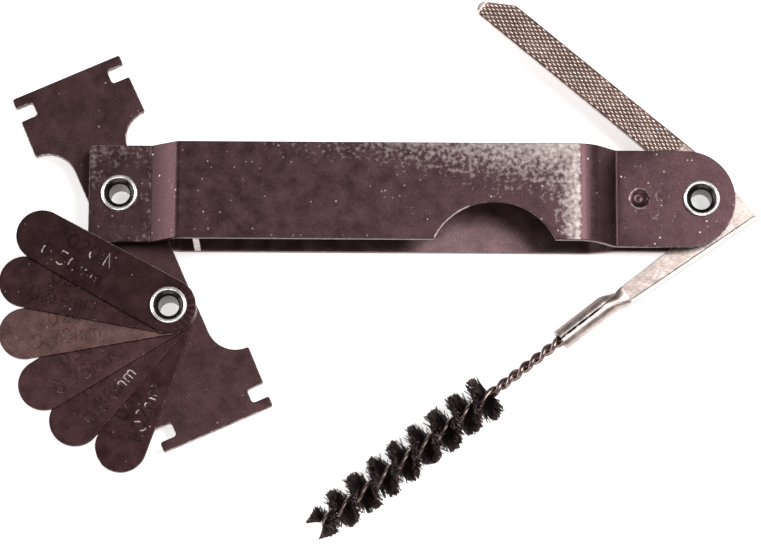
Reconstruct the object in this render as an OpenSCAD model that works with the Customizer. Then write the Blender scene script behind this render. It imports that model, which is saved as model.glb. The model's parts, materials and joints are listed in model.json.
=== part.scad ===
// Pocket gap gauge for spark plugs: a joggled two-plate case that carries a
// gap plate with a fan of feeler leaves at one end, and a point file and a
// twisted-wire brush at the other.
// The case lies along X with its back face on z = 0 and both pivots on y = 0.

/* [Case] */
// Distance between the gauge pivot and the tool pivot
pivot_span = 91.8; // [85:0.1:115]
// Width of the case
case_w = 15.6; // [14:0.1:20]
// Overall thickness of the case between its pinched ends
case_t = 10.6; // [9.6:0.1:13]
// Thickness of both case plates
sheet_t = 0.9; // [0.7:0.05:1.1]
// Case beyond the gauge pivot, the square end
heel_overhang = 4.8; // [4:0.1:8]
// Case beyond the tool pivot, the round end
nose_overhang = 5.4; // [4.5:0.1:7]
// Flat stretch from the gauge pivot to its ramp
heel_flat = 5.2; // [4:0.1:8]
// Length of the ramp at the square end
heel_ramp = 4.1; // [3.4:0.1:6]
// Flat stretch from the tool pivot to its ramp
nose_flat = 13.7; // [12:0.1:18]
// Length of the ramp at the round end
nose_ramp = 4.0; // [3.4:0.1:6]
// Height of the back plate's inner face at the square end
heel_floor = 2.3; // [1.6:0.1:2.4]
// Height of the back plate's inner face at the round end
nose_floor = 2.4; // [1.8:0.1:3]
// Middle radius of the bends in the case plates
bend_r = 1.1; // [0.9:0.1:1.4]
// Middle radius of the wide bend where the case drops to its nose
nose_crest_r = 4.5; // [1.1:0.1:6]
// Corner radius of the square end
heel_corner_r = 1.0; // [0.5:0.1:2]

/* [Finger notch and detent] */
// Distance from the tool pivot back to the middle of the finger notch
notch_back = 32.8; // [29:0.1:40]
// Radius of the finger notch
notch_r = 10.5; // [8:0.1:12]
// Depth of the finger notch
notch_depth = 6.1; // [3:0.1:7]
// Distance from the tool pivot back to the detent dimple
dimple_back = 9.8; // [8.5:0.1:11]
// Diameter of the dimple at the surface
dimple_d = 3.1; // [2:0.1:4]
// Depth of the dimple
dimple_depth = 0.45; // [0.2:0.05:0.6]

/* [Stop lug] */
// Distance from the gauge pivot to the near side of the stop lug
lug_from_pivot = 11.7; // [11:0.1:13]
// Length of the stop lug along the case
lug_l = 1.0; // [0.8:0.1:1.6]
// Clearance between the lug and the front plate
lug_clear = 0.15; // [0.1:0.05:0.5]

/* [Eyelets] */
// Outside diameter of an eyelet's barrel
barrel_d = 3.9; // [3.4:0.1:4.2]
// Bore of an eyelet
eyelet_bore_d = 3.2; // [2.6:0.1:3.3]
// Outside diameter of an eyelet's rolled rim
rim_d = 5.8; // [5:0.1:6.4]
// Diameter of the rolled bead around the rim
bead_d = 0.6; // [0.4:0.05:0.8]
// Radial running clearance of a piece on an eyelet
pivot_clear = 0.05; // [0.02:0.01:0.1]
// Face clearance between stacked pieces that turn
play = 0.05; // [0.03:0.01:0.1]

/* [Washers] */
// Outside diameter of the washers
washer_d = 7.0; // [6:0.1:8]
// Thickness of the friction washer under the gap plate
friction_washer_t = 0.5; // [0.3:0.05:0.8]
// Thickness of the collar between the gap plate and the disc spring
gauge_collar_t = 1.3; // [0.8:0.1:2]
// Height of the disc spring under the front plate
disc_spring_h = 1.1; // [0.8:0.05:1.4]
// Sheet thickness of the disc spring
disc_spring_t = 0.5; // [0.3:0.05:0.6]
// Thickness of the washer under the leaf pack
pack_washer_t = 0.25; // [0.15:0.05:0.5]
// Thickness of the spacer between the brush holder and the file
tool_spacer_t = 1.1; // [0.8:0.1:1.6]

/* [Gap plate] */
// Thickness of the gap plate
gap_plate_t = 1.3; // [1:0.1:1.6]
// Distance between the gap plate's two holes
hole_spacing = 20.1; // [19:0.1:22]
// Distance from the gauge pivot to the near end
pivot_end_l = 21.8; // [19:0.1:23]
// Distance from the leaf pivot to the far end
leaf_end_l = 20.2; // [19:0.1:23]
// Width at the ends
end_w = 18.5; // [16:0.1:20]
// Width at the shoulders
shoulder_w = 19.0; // [17:0.1:20]
// Width of the waist
waist_w = 9.2; // [8:0.1:10]
// Radius of the hollows beside the waist
hollow_r = 4.6; // [4:0.1:5.5]
// Distance from each end in to the centre of its hollows
hollow_back = 14.8; // [13:0.1:17]
// Distance of both holes from the plate's middle line
hole_offset = 0.35; // [0:0.05:0.6]
// Length of the bending tab at each corner
tab_t = 1.65; // [1.4:0.05:2.2]
// Width of the slot behind a tab
slot_w = 2.3; // [1.5:0.1:2.8]
// Depth of a slot
slot_depth = 2.8; // [2:0.1:3.5]
// Radius in a slot's inner corners
slot_corner_r = 0.5; // [0.2:0.05:0.7]
// Direction of the gap plate
gap_plate_angle = -66.0; // [-75:0.1:-60]

/* [Feeler leaves] */
// Width of a leaf at its round tip
leaf_w = 8.1; // [7:0.1:9]
// Width of a leaf at its root
leaf_root_w = 8.6; // [7.5:0.1:9.5]
// Distance from the leaf pivot to the centre of the tip
leaf_reach = 22.9; // [20:0.1:26]
// Gap between stacked leaves
leaf_gap = 0.05; // [0.03:0.01:0.1]

/* [Point file] */
// Thickness of the file
file_t = 0.8; // [0.6:0.05:1.2]
// Near edge of the file from the pivot line
file_offset = 0.6; // [0.4:0.1:1]
// Width of the file
file_w = 5.0; // [4:0.1:5]
// Length of the file from the pivot to its tip
file_l = 47.5; // [38:0.1:50]
// Length at which the clipped corner starts
file_clip = 42.9; // [30:0.1:44]
// Radius of the file's tip
file_tip_r = 1.3; // [0.8:0.1:1.5]
// Radius of the file's eye
file_eye_r = 4.2; // [3.5:0.1:4.6]
// How far the file is swung out of the case
file_open = 40.1; // [30:0.1:60]

/* [Brush holder] */
// Thickness of the holder's sheet
holder_t = 0.65; // [0.5:0.05:0.8]
// Outer face of the flange from the pivot
flange_offset = 7.5; // [6.9:0.1:8]
// Angle of the flange to the brush's axis
flange_taper = 3.4; // [2:0.1:5]
// Holder beyond the pivot, the thumb corner
holder_heel = 5.6; // [4.5:0.1:6.5]
// Where the thumb corner's straight end meets the eye, below the pivot line
heel_shoulder = 1.6; // [0.5:0.1:2.5]
// Inner edge of the web from the pivot line
web_inner = 2.9; // [2.4:0.1:3.2]
// Radius of the holder's eye
holder_eye_r = 4.4; // [3.5:0.1:4.8]
// Distance from the pivot to the start of the ferrule
ferrule_start = 22.4; // [21:0.1:25]
// Length of the ferrule
ferrule_l = 9.2; // [7:0.1:12]
// Outside diameter of the ferrule
ferrule_d = 3.5; // [3.2:0.1:4]
// Width of the ferrule's rolled seam
seam_w = 0.25; // [0.15:0.05:0.4]

/* [Brush] */
// Distance of the brush's axis from the pivot line
brush_offset = 4.1; // [3.9:0.1:4.4]
// Diameter of each stem wire
wire_d = 0.88; // [0.7:0.02:1]
// Gap between the two stem wires
wire_gap = 0.02; // [0.02:0.01:0.06]
// Stem wire held inside the ferrule
wire_grip = 7.5; // [5:0.1:8.5]
// Distance from the pivot to the first bristles
bristle_start = 45.4; // [40:0.1:50]
// Length of the bristled stretch
bristle_l = 35.4; // [28:0.1:38]
// Bristle diameter at the stem end
bristle_d1 = 8.4; // [7:0.1:8.4]
// Bristle diameter where the tip starts to round off
bristle_d2 = 7.3; // [6:0.1:8]
// Bristle diameter at the very tip
bristle_d3 = 4.0; // [3:0.1:5]
// Length over which the tip rounds off
bristle_tip_l = 4.6; // [3:0.1:6]
// How far the bristles reach past the end of the wires
tip_overhang = 1.9; // [1.7:0.1:3]
// Pitch of the twist on the bare stem
stem_pitch = 4.4; // [3.5:0.1:6]
// Pitch of the twist between the bristles
bristle_pitch = 8.0; // [6:0.1:10]
// How far the brush is swung out of the case
brush_open = 38.2; // [30:0.1:60]

/* [Hidden] */
$fn = 64;
bend_steps = 5;
wire_sides = 8;
rings_per_turn = 10;
join = 0.01;
cut_over = 1;

// Leaf thickness and direction, from the top of the pack down
leaf_t = [0.51, 0.635, 0.71, 0.76, 0.89, 1.02];
leaf_angle = [151, 170.5, 191, 212.5, 231, 251.5];
leaf_count = len(leaf_t);

heel_x = -pivot_span / 2;
nose_x = pivot_span / 2;
case_x0 = heel_x - heel_overhang;
case_x1 = nose_x + nose_overhang;
half_w = case_w / 2;
barrel_r = barrel_d / 2;
turning_r = barrel_r + pivot_clear;

// Levels of the stack at the gauge pivot
gap_plate_z = heel_floor + friction_washer_t + play;
gauge_collar_z = gap_plate_z + gap_plate_t + play;
disc_spring_z = gauge_collar_z + gauge_collar_t;
heel_ceiling = disc_spring_z + disc_spring_h;
heel_top = heel_ceiling + sheet_t;

// Levels of the leaf pack, leaf 1 on top
pack_z = gap_plate_z + gap_plate_t + pack_washer_t + leaf_gap;
function leaves_under(i) =
    i >= leaf_count - 1 ? 0 : leaf_t[i + 1] + leaf_gap + leaves_under(i + 1);
function leaf_z(i) = pack_z + leaves_under(i);
pack_top = leaf_z(0) + leaf_t[0] + leaf_gap;
leaf_pivot = [heel_x + hole_spacing * cos(gap_plate_angle), hole_spacing * sin(gap_plate_angle)];

// Levels of the stack at the tool pivot
holder_z = nose_floor + play;
tool_spacer_z = holder_z + holder_t + play;
file_z = tool_spacer_z + tool_spacer_t + play;
nose_ceiling = file_z + file_t + play;
nose_top = nose_ceiling + sheet_t;
flange_top = nose_ceiling - play;

// The brush lies halfway between the case plates when it is folded away
brush_z = case_t / 2;
wire_r = wire_d / 2;
wire_orbit = wire_r + wire_gap / 2;
stem_r = wire_orbit + wire_r;
ferrule_r = ferrule_d / 2;
ferrule_bore_r = stem_r + pivot_clear;
ferrule_end = ferrule_start + ferrule_l;
wire_start = ferrule_end - wire_grip;
bristle_end = bristle_start + bristle_l;
wire_end = bristle_end - tip_overhang;
bristle_bore_r = stem_r + pivot_clear;

// Centre of the finger notch
notch_x = nose_x - notch_back;
notch_y = -half_w + notch_depth - notch_r;

// ---------- bent sheet ----------

function unit(v) = v / norm(v);
function left_normal(v) = [-v.y, v.x];

// Points round the bend at p1, on a line that runs "side" to the left of the middle line
function bend(p0, p1, p2, side, middle_r) =
    let (
        a = unit(p1 - p0),
        b = unit(p2 - p1),
        turn = sign(a.x * b.y - a.y * b.x),
        angle = acos(a * b),
        centre = p1 - a * middle_r * tan(angle / 2) + left_normal(a) * middle_r * turn,
        start = atan2(-left_normal(a).y * turn, -left_normal(a).x * turn),
        r = middle_r - side * turn
    )
    [for (k = [0 : bend_steps]) let (q = start + turn * angle * k / bend_steps) centre + r * [cos(q), sin(q)]];

// Middle radius of each bend of a case plate, from the heel on
bend_radii = [bend_r, bend_r, nose_crest_r, bend_r];

// One face of a sheet that follows the middle line p
function sheet_face(p, side) =
    let (last = len(p) - 1)
    concat(
        [p[0] + left_normal(unit(p[1] - p[0])) * side],
        [for (i = [1 : last - 1]) each bend(p[i - 1], p[i], p[i + 1], side, bend_radii[i - 1])],
        [p[last] + left_normal(unit(p[last] - p[last - 1])) * side]
    );

function reversed(list) = [for (i = [len(list) - 1 : -1 : 0]) list[i]];

// Middle line of a case plate from its levels at the heel, the middle and the nose
function case_line(heel_z, middle_z, nose_z) = [
    [case_x0 - cut_over, heel_z],
    [heel_x + heel_flat, heel_z],
    [heel_x + heel_flat + heel_ramp, middle_z],
    [nose_x - nose_flat - nose_ramp, middle_z],
    [nose_x - nose_flat, nose_z],
    [case_x1 + cut_over, nose_z]
];

module case_outline() {
    translate([case_x0 + heel_corner_r, -half_w])
        square([case_x1 - half_w - case_x0 - heel_corner_r, case_w]);
    translate([case_x0, -half_w + heel_corner_r])
        square([2 * heel_corner_r, case_w - 2 * heel_corner_r]);
    for (s = [-1, 1])
        translate([case_x0 + heel_corner_r, s * (half_w - heel_corner_r)]) circle(heel_corner_r);
    translate([case_x1 - half_w, 0]) circle(half_w);
}

// A case plate bent to its levels, cut to the outline and pierced for both eyelets
module case_plate(heel_z, middle_z, nose_z) {
    line = case_line(heel_z, middle_z, nose_z);
    difference() {
        intersection() {
            translate([0, half_w + cut_over, 0]) rotate([90, 0, 0])
                linear_extrude(case_w + 2 * cut_over)
                    polygon(concat(sheet_face(line, sheet_t / 2), reversed(sheet_face(line, -sheet_t / 2))));
            translate([0, 0, -cut_over]) linear_extrude(case_t + 2 * cut_over) case_outline();
        }
        for (x = [heel_x, nose_x])
            translate([x, 0, -cut_over]) cylinder(h = case_t + 2 * cut_over, r = barrel_r);
    }
}

module front_plate() color("#402e2f") {
    difference() {
        union() {
            case_plate(heel_ceiling + sheet_t / 2, case_t - sheet_t / 2, nose_ceiling + sheet_t / 2);
            // Bump of the dimple between the folded file and the folded holder
            translate([nose_x - dimple_back, 0, nose_ceiling - dimple_depth / 2])
                cylinder(h = dimple_depth, r1 = dimple_d / 8, r2 = dimple_d / 5);
        }
        translate([notch_x, notch_y, case_t - 3 * sheet_t])
            cylinder(h = 4 * sheet_t, r = notch_r);
        translate([nose_x - dimple_back, 0, nose_top - dimple_depth])
            cylinder(h = 2 * dimple_depth, r1 = dimple_d / 2 - dimple_depth, r2 = dimple_d / 2 + dimple_depth);
    }
}

module back_plate() color("#392829") {
    case_plate(heel_floor - sheet_t / 2, sheet_t / 2, nose_floor - sheet_t / 2);
    // Stop lug, bent up from the edge
    translate([heel_x + lug_from_pivot, -half_w, sheet_t / 2])
        cube([lug_l, sheet_t, case_t - 1.5 * sheet_t - lug_clear]);
}

// ---------- eyelets and washers ----------

// Profile of one rolled rim, outwards from z = 0
module rim_profile() {
    translate([eyelet_bore_d / 2, 0]) square([rim_d / 2 - bead_d / 2 - eyelet_bore_d / 2, bead_d / 2]);
    translate([rim_d / 2 - bead_d / 2, bead_d / 2]) circle(d = bead_d);
}

// Hollow eyelet closed over everything between z0 and z1
module eyelet(z0, z1) {
    rotate_extrude() {
        translate([eyelet_bore_d / 2, z0 - bead_d / 4])
            square([(barrel_d - eyelet_bore_d) / 2, z1 - z0 + bead_d / 2]);
        translate([0, z1]) rim_profile();
        translate([0, z0]) mirror([0, 1]) rim_profile();
    }
}

module washer(h, bore_r) {
    difference() {
        cylinder(h = h, d = washer_d);
        translate([0, 0, -cut_over]) cylinder(h = h + 2 * cut_over, r = bore_r);
    }
}

module gauge_pivot_eyelet() color("#d9d5d0")
    translate([heel_x, 0, 0]) eyelet(heel_floor - sheet_t, heel_top);

module tool_pivot_eyelet() color("#d9d5d0")
    translate([nose_x, 0, 0]) eyelet(nose_floor - sheet_t, nose_top);

module leaf_pivot_eyelet() color("#d9d5d0")
    translate([leaf_pivot.x, leaf_pivot.y, 0]) eyelet(gap_plate_z, pack_top);

module friction_washer() color("#8c7f78")
    translate([heel_x, 0, heel_floor]) washer(friction_washer_t, turning_r);

module gauge_collar() color("#8c7f78")
    translate([heel_x, 0, gauge_collar_z]) washer(gauge_collar_t, turning_r);

// Shallow cone that presses the collar and the gap plate on the friction washer
module disc_spring() color("#8c7f78")
    translate([heel_x, 0, disc_spring_z]) rotate_extrude()
        polygon([
            [turning_r, disc_spring_h - disc_spring_t],
            [washer_d / 2, 0],
            [washer_d / 2, disc_spring_t],
            [turning_r, disc_spring_h]
        ]);

module tool_spacer() color("#8c7f78")
    translate([nose_x, 0, tool_spacer_z]) washer(tool_spacer_t, turning_r);

module leaf_pack_washer() color("#8c7f78")
    translate([leaf_pivot.x, leaf_pivot.y, gap_plate_z + gap_plate_t]) washer(pack_washer_t, turning_r);

// ---------- gauge ----------

// Slot that frees a bending tab, open towards +Y
module tab_slot() {
    translate([-slot_w / 2, slot_corner_r]) square([slot_w, slot_depth]);
    translate([-slot_w / 2 + slot_corner_r, 0]) square([slot_w - 2 * slot_corner_r, slot_depth]);
    for (s = [-1, 1])
        translate([s * (slot_w / 2 - slot_corner_r), slot_corner_r]) circle(slot_corner_r);
}

// Half of the gap plate about its hole at the origin, with its end at x = -end_l
module gap_plate_half(end_l) {
    slot_x = -end_l + tab_t + slot_w / 2;
    hollow_x = -end_l + hollow_back;
    difference() {
        union() {
            polygon([
                [-end_l, -end_w / 2],
                [hollow_x, -shoulder_w / 2],
                [hollow_x, shoulder_w / 2],
                [-end_l, end_w / 2]
            ]);
            translate([hollow_x - join, -waist_w / 2])
                square([hole_spacing / 2 - hollow_x + 2 * join, waist_w]);
        }
        for (s = [0, 1]) mirror([0, s]) {
            translate([hollow_x, waist_w / 2 + hollow_r]) circle(hollow_r);
            translate([slot_x, end_w / 2 - slot_depth]) tab_slot();
        }
    }
}

module gap_plate() color("#3f2c2d")
    translate([heel_x, 0, gap_plate_z]) rotate([0, 0, gap_plate_angle])
        difference() {
            linear_extrude(gap_plate_t) translate([0, -hole_offset]) {
                gap_plate_half(pivot_end_l);
                translate([hole_spacing, 0]) mirror([1, 0]) gap_plate_half(leaf_end_l);
            }
            translate([0, 0, -cut_over]) cylinder(h = gap_plate_t + 2 * cut_over, r = turning_r);
            translate([hole_spacing, 0, -cut_over]) cylinder(h = gap_plate_t + 2 * cut_over, r = barrel_r);
        }

// Feeler leaf i, a tapered strip between two round ends
module leaf(i) {
    color(["#301f21", "#3a2829", "#513a3a", "#402e2f", "#3c2a2b", "#402c2e"][i])
        translate([leaf_pivot.x, leaf_pivot.y, leaf_z(i)]) rotate([0, 0, leaf_angle[i]])
            difference() {
                linear_extrude(leaf_t[i]) {
                    circle(d = leaf_root_w);
                    translate([leaf_reach, 0]) circle(d = leaf_w);
                    polygon([
                        [0, -leaf_root_w / 2],
                        [leaf_reach, -leaf_w / 2],
                        [leaf_reach, leaf_w / 2],
                        [0, leaf_root_w / 2]
                    ]);
                }
                translate([0, 0, -cut_over]) cylinder(h = leaf_t[i] + 2 * cut_over, r = turning_r);
            }
}

module leaf_0_50mm() leaf(0);
module leaf_0_62mm() leaf(1);
module leaf_0_70mm() leaf(2);
module leaf_0_75mm() leaf(3);
module leaf_0_88mm() leaf(4);
module leaf_1_02mm() leaf(5);

// ---------- point file ----------

// The file folded into the case: it runs towards -X, on the +Y side of the pivot line
module point_file() color("#9b837c") {
    tip_y = file_offset + file_tip_r;
    tip_x = -file_l + file_tip_r;
    clip_end = [-file_clip, file_offset + file_w];
    // Tangent from the clipped corner to the tip's round
    reach = norm(clip_end - [tip_x, tip_y]);
    clip_angle = atan2(clip_end.y - tip_y, clip_end.x - tip_x) + acos(file_tip_r / reach);
    translate([nose_x, 0, file_z]) rotate([0, 0, -file_open])
        difference() {
            linear_extrude(file_t) {
                polygon([
                    [0, file_offset],
                    [0, file_offset + file_w],
                    clip_end,
                    [tip_x, tip_y] + file_tip_r * [cos(clip_angle), sin(clip_angle)],
                    [tip_x - file_tip_r, tip_y],
                    [tip_x, file_offset]
                ]);
                translate([tip_x, tip_y]) circle(file_tip_r);
                circle(file_eye_r);
                translate([0, (file_offset + file_w) / 2]) circle((file_offset + file_w) / 2);
            }
            translate([0, 0, -cut_over]) cylinder(h = file_t + 2 * cut_over, r = turning_r);
        }
}

// ---------- brush ----------

// Places a piece of the folded brush at its pivot, swung out of the case
module on_brush() translate([nose_x, 0, 0]) rotate([0, 0, brush_open]) children();

// Turns +Z along the brush, from the pivot's foot on its axis
module along_brush(start) translate([-start, -brush_offset, brush_z]) rotate([0, -90, 0]) children();

module brush_holder() color("#8c7c76") {
    web_end = ferrule_start - 2 * ferrule_r;
    bowl_end = ferrule_start - ferrule_r / 2;
    rise = brush_z - ferrule_r - holder_z;
    flange_y = -flange_offset / cos(flange_taper);
    // Tangent from the shoulder to the eye
    shoulder = [holder_heel, -heel_shoulder];
    shoulder_angle = atan2(shoulder.y, shoulder.x) + acos(holder_eye_r / norm(shoulder));
    on_brush() {
        difference() {
            union() {
                // Web and eye
                translate([0, 0, holder_z]) linear_extrude(holder_t) {
                    circle(holder_eye_r);
                    polygon([
                        [holder_heel, flange_y - holder_heel * tan(flange_taper)],
                        shoulder,
                        holder_eye_r * [cos(shoulder_angle), sin(shoulder_angle)],
                        [0, -web_inner],
                        [-web_end, -web_inner],
                        [-web_end, flange_y + web_end * tan(flange_taper)]
                    ]);
                }
                // Flange along the outer edge
                translate([0, flange_y, holder_z]) rotate([0, 0, -flange_taper])
                    translate([-web_end, 0, 0]) cube([web_end + holder_heel, holder_t, flange_top - holder_z]);
                // Floor that rises from the web to the ferrule
                translate([0, -web_inner, 0]) rotate([90, 0, 0])
                    linear_extrude(2 * (brush_offset - web_inner))
                        polygon([
                            [-web_end + join, holder_z],
                            [-web_end + join, holder_z + holder_t],
                            [-bowl_end, holder_z + holder_t + rise],
                            [-bowl_end, holder_z + rise],
                        ]);
            }
            translate([0, 0, holder_z - cut_over]) cylinder(h = holder_t + 2 * cut_over, r = turning_r);
        }
        // Ferrule, cut open on a slant where the sheet starts to roll up
        difference() {
            along_brush(web_end) cylinder(h = ferrule_end - web_end, r = ferrule_r);
            along_brush(web_end - cut_over) cylinder(h = ferrule_end, r = ferrule_bore_r);
            translate([0, -brush_offset - ferrule_r - cut_over, 0]) mirror([0, 1, 0]) rotate([90, 0, 0])
                linear_extrude(2 * (ferrule_r + cut_over))
                    polygon([
                        [cut_over - web_end, brush_z - ferrule_bore_r],
                        [-web_end - ferrule_r / 2, brush_z - ferrule_bore_r],
                        [-ferrule_start, brush_z + ferrule_r + cut_over],
                        [cut_over - web_end, brush_z + ferrule_r + cut_over]
                    ]);
            // Seam along the top of the rolled sheet
            translate([-ferrule_end - cut_over, -brush_offset - seam_w / 2, brush_z])
                cube([ferrule_l + 2 * cut_over, seam_w, ferrule_d]);
        }
    }
}

// Turns of the twist between the start of the wires and a point s from the pivot
function turns_at(s) =
    (min(s, bristle_start) - wire_start) / stem_pitch + max(0, s - bristle_start) / bristle_pitch;

// Points along the wires, spaced evenly in turns
bare_rings = ceil(turns_at(bristle_start) * rings_per_turn);
brush_rings = ceil((turns_at(wire_end) - turns_at(bristle_start)) * rings_per_turn);
ring_places = concat(
    [for (k = [0 : bare_rings]) wire_start + (bristle_start - wire_start) * k / bare_rings],
    [for (k = [1 : brush_rings]) bristle_start + (wire_end - bristle_start) * k / brush_rings]
);

// One of the two stem wires, "phase" degrees round the stem, in a left-hand twist
module stem_wire(phase) {
    rings = len(ring_places);
    points = [for (s = ring_places) let (q = phase - 360 * turns_at(s))
        for (k = [0 : wire_sides - 1]) let (e = q + 360 * k / wire_sides)
            [wire_orbit * cos(q) + wire_r * cos(e), wire_orbit * sin(q) + wire_r * sin(e), s]];
    sides = [for (j = [0 : rings - 2]) for (k = [0 : wire_sides - 1])
        let (
            a = j * wire_sides + k,
            b = j * wire_sides + (k + 1) % wire_sides
        )
        each [[a, a + wire_sides, b + wire_sides], [a, b + wire_sides, b]]];
    ends = [
        [for (k = [0 : wire_sides - 1]) k],
        [for (k = [wire_sides - 1 : -1 : 0]) (rings - 1) * wire_sides + k]
    ];
    on_brush() along_brush(0) polyhedron(points, concat(sides, ends));
}

module stem_wire_a() color("#5e504b") stem_wire(0);
module stem_wire_b() color("#5e504b") stem_wire(180);

// Space that the bristles fill round the stem
module bristles() color("#171011")
    on_brush() along_brush(bristle_start)
        difference() {
            union() {
                cylinder(h = bristle_l - bristle_tip_l, d1 = bristle_d1, d2 = bristle_d2);
                translate([0, 0, bristle_l - bristle_tip_l])
                    cylinder(h = bristle_tip_l, d1 = bristle_d2, d2 = bristle_d3);
            }
            translate([0, 0, -cut_over]) cylinder(h = bristle_l + 2 * cut_over, r = bristle_bore_r);
        }

front_plate();
back_plate();
gauge_pivot_eyelet();
tool_pivot_eyelet();
friction_washer();
gauge_collar();
disc_spring();
tool_spacer();
gap_plate();
leaf_pivot_eyelet();
leaf_pack_washer();
leaf_0_50mm();
leaf_0_62mm();
leaf_0_70mm();
leaf_0_75mm();
leaf_0_88mm();
leaf_1_02mm();
point_file();
brush_holder();
stem_wire_a();
stem_wire_b();
bristles();
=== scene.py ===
"""Visual model of a pocket feeler gauge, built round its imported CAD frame.

The classes hold their sizes in millimetres, in the object's own frame: X along the case, +Z up,
the back face on z = 0 and both case pivots on y = 0. Meshes are written in metres.
"""

import json
import logging
import math
import random
from dataclasses import dataclass, field
from enum import Enum
from typing import Callable, Sequence

import bmesh
import bpy
from mathutils import Matrix, Vector
from mathutils.geometry import delaunay_2d_cdt

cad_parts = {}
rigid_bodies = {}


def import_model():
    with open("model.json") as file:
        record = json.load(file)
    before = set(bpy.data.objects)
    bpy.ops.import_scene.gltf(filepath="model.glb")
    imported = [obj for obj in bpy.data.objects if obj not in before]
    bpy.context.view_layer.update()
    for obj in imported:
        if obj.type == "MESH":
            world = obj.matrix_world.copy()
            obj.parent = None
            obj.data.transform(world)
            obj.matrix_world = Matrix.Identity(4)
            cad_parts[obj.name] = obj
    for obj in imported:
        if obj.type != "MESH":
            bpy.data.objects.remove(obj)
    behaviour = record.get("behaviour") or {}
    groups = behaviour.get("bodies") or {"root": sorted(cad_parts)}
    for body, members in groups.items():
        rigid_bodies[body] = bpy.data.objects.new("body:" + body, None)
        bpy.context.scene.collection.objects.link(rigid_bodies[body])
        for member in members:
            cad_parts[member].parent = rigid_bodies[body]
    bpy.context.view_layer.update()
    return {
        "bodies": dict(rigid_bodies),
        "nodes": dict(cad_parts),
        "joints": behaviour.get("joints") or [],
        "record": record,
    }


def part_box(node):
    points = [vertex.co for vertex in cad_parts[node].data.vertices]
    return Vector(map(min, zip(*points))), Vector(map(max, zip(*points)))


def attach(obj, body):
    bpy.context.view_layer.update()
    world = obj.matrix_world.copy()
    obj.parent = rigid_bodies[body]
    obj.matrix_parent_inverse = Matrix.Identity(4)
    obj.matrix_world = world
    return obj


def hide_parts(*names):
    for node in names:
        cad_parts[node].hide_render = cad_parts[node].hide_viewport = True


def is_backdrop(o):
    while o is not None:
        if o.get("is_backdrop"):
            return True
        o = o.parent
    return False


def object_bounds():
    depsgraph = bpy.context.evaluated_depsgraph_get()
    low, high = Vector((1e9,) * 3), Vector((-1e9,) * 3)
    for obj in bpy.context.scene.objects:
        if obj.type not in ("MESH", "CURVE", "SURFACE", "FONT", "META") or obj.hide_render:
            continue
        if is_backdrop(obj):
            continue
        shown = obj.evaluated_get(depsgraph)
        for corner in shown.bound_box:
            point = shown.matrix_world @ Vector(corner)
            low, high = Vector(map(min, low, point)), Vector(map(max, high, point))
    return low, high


LOG = logging.getLogger("feeler_gauge")
MM = 0.001
# Point value of every mesh: 1 is bright, from steel rubbed bare and from painted highlights, 0 the plain
# skin, -1 dark, from grime and from painted shade.
WEAR_AND_LIGHT = "wear_and_light"

Point = tuple[float, float]
Loop = list[Point]
Placer = Callable[[float, float, float], Vector]
WearAndLightMap = Callable[[float, float], float]
Colour = tuple[float, float, float, float]
Socket = bpy.types.NodeSocket
Ring = tuple[float, float, float]


# ---------------------------------------------------------------- plane geometry


def arc(centre: Point, radius: float, start: float, end: float, steps: int) -> Loop:
    """Points along an arc.

    Args:
        centre: Centre of the arc.
        radius: Its radius.
        start: First angle in degrees.
        end: Last angle in degrees.
        steps: How many chords stand for the arc.

    Returns:
        The steps + 1 points, both ends included.
    """
    angles = [math.radians(start + (end - start) * k / steps) for k in range(steps + 1)]
    return [(centre[0] + radius * math.cos(a), centre[1] + radius * math.sin(a)) for a in angles]


def round_hole(centre: Point, radius: float, steps: int = 48) -> Loop:
    """A clockwise circle, which leaves the sheet on its left."""
    return arc(centre, radius, 360, 360 / steps, steps - 1)


def turned(loop: Loop, degrees: float, origin: Point = (0.0, 0.0)) -> Loop:
    """The loop turned about (0, 0) and then moved to origin."""
    c, s = math.cos(math.radians(degrees)), math.sin(math.radians(degrees))
    return [(origin[0] + c * x - s * y, origin[1] + s * x + c * y) for x, y in loop]


def mitres(loop: Loop) -> Loop:
    """Mitred unit-distance normals at a loop's points, towards the loop's left side.

    Args:
        loop: A closed loop, counter-clockwise round material or clockwise round a hole.

    Returns:
        One vector per point. A point moved by it lies one unit off both of its edges.
    """
    found = []
    count = len(loop)
    for i, point in enumerate(loop):
        before = Vector(point) - Vector(loop[i - 1])
        after = Vector(loop[(i + 1) % count]) - Vector(point)
        n0 = Vector((-before.y, before.x)).normalized()
        n1 = Vector((-after.y, after.x)).normalized()
        middle = n0 + n1
        if middle.length < 1e-6:
            middle = n0
        middle.normalize()
        stretch = min(2.5, 1 / max(0.4, middle.dot(n0)))
        found.append((middle.x * stretch, middle.y * stretch))
    return found


def inset(loop: Loop, distance: float) -> Loop:
    """The loop with each point moved to its left by distance, with mitred corners."""
    return [(p[0] + m[0] * distance, p[1] + m[1] * distance) for p, m in zip(loop, mitres(loop))]


def inside(point: Point, loop: Loop) -> bool:
    """True if the point lies inside the closed loop.

    Args:
        point: The point.
        loop: The closed loop.

    Returns:
        Whether a ray from the point crosses the loop an odd number of times.
    """
    x, y = point
    hit = False
    for (x0, y0), (x1, y1) in zip(loop, loop[1:] + loop[:1]):
        if (y0 > y) != (y1 > y) and x < x0 + (y - y0) * (x1 - x0) / (y1 - y0):
            hit = not hit
    return hit


def smooth(value: float) -> float:
    """Smooth step of a value held between 0 and 1."""
    held = min(1.0, max(0.0, value))
    return held * held * (3 - 2 * held)


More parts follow.
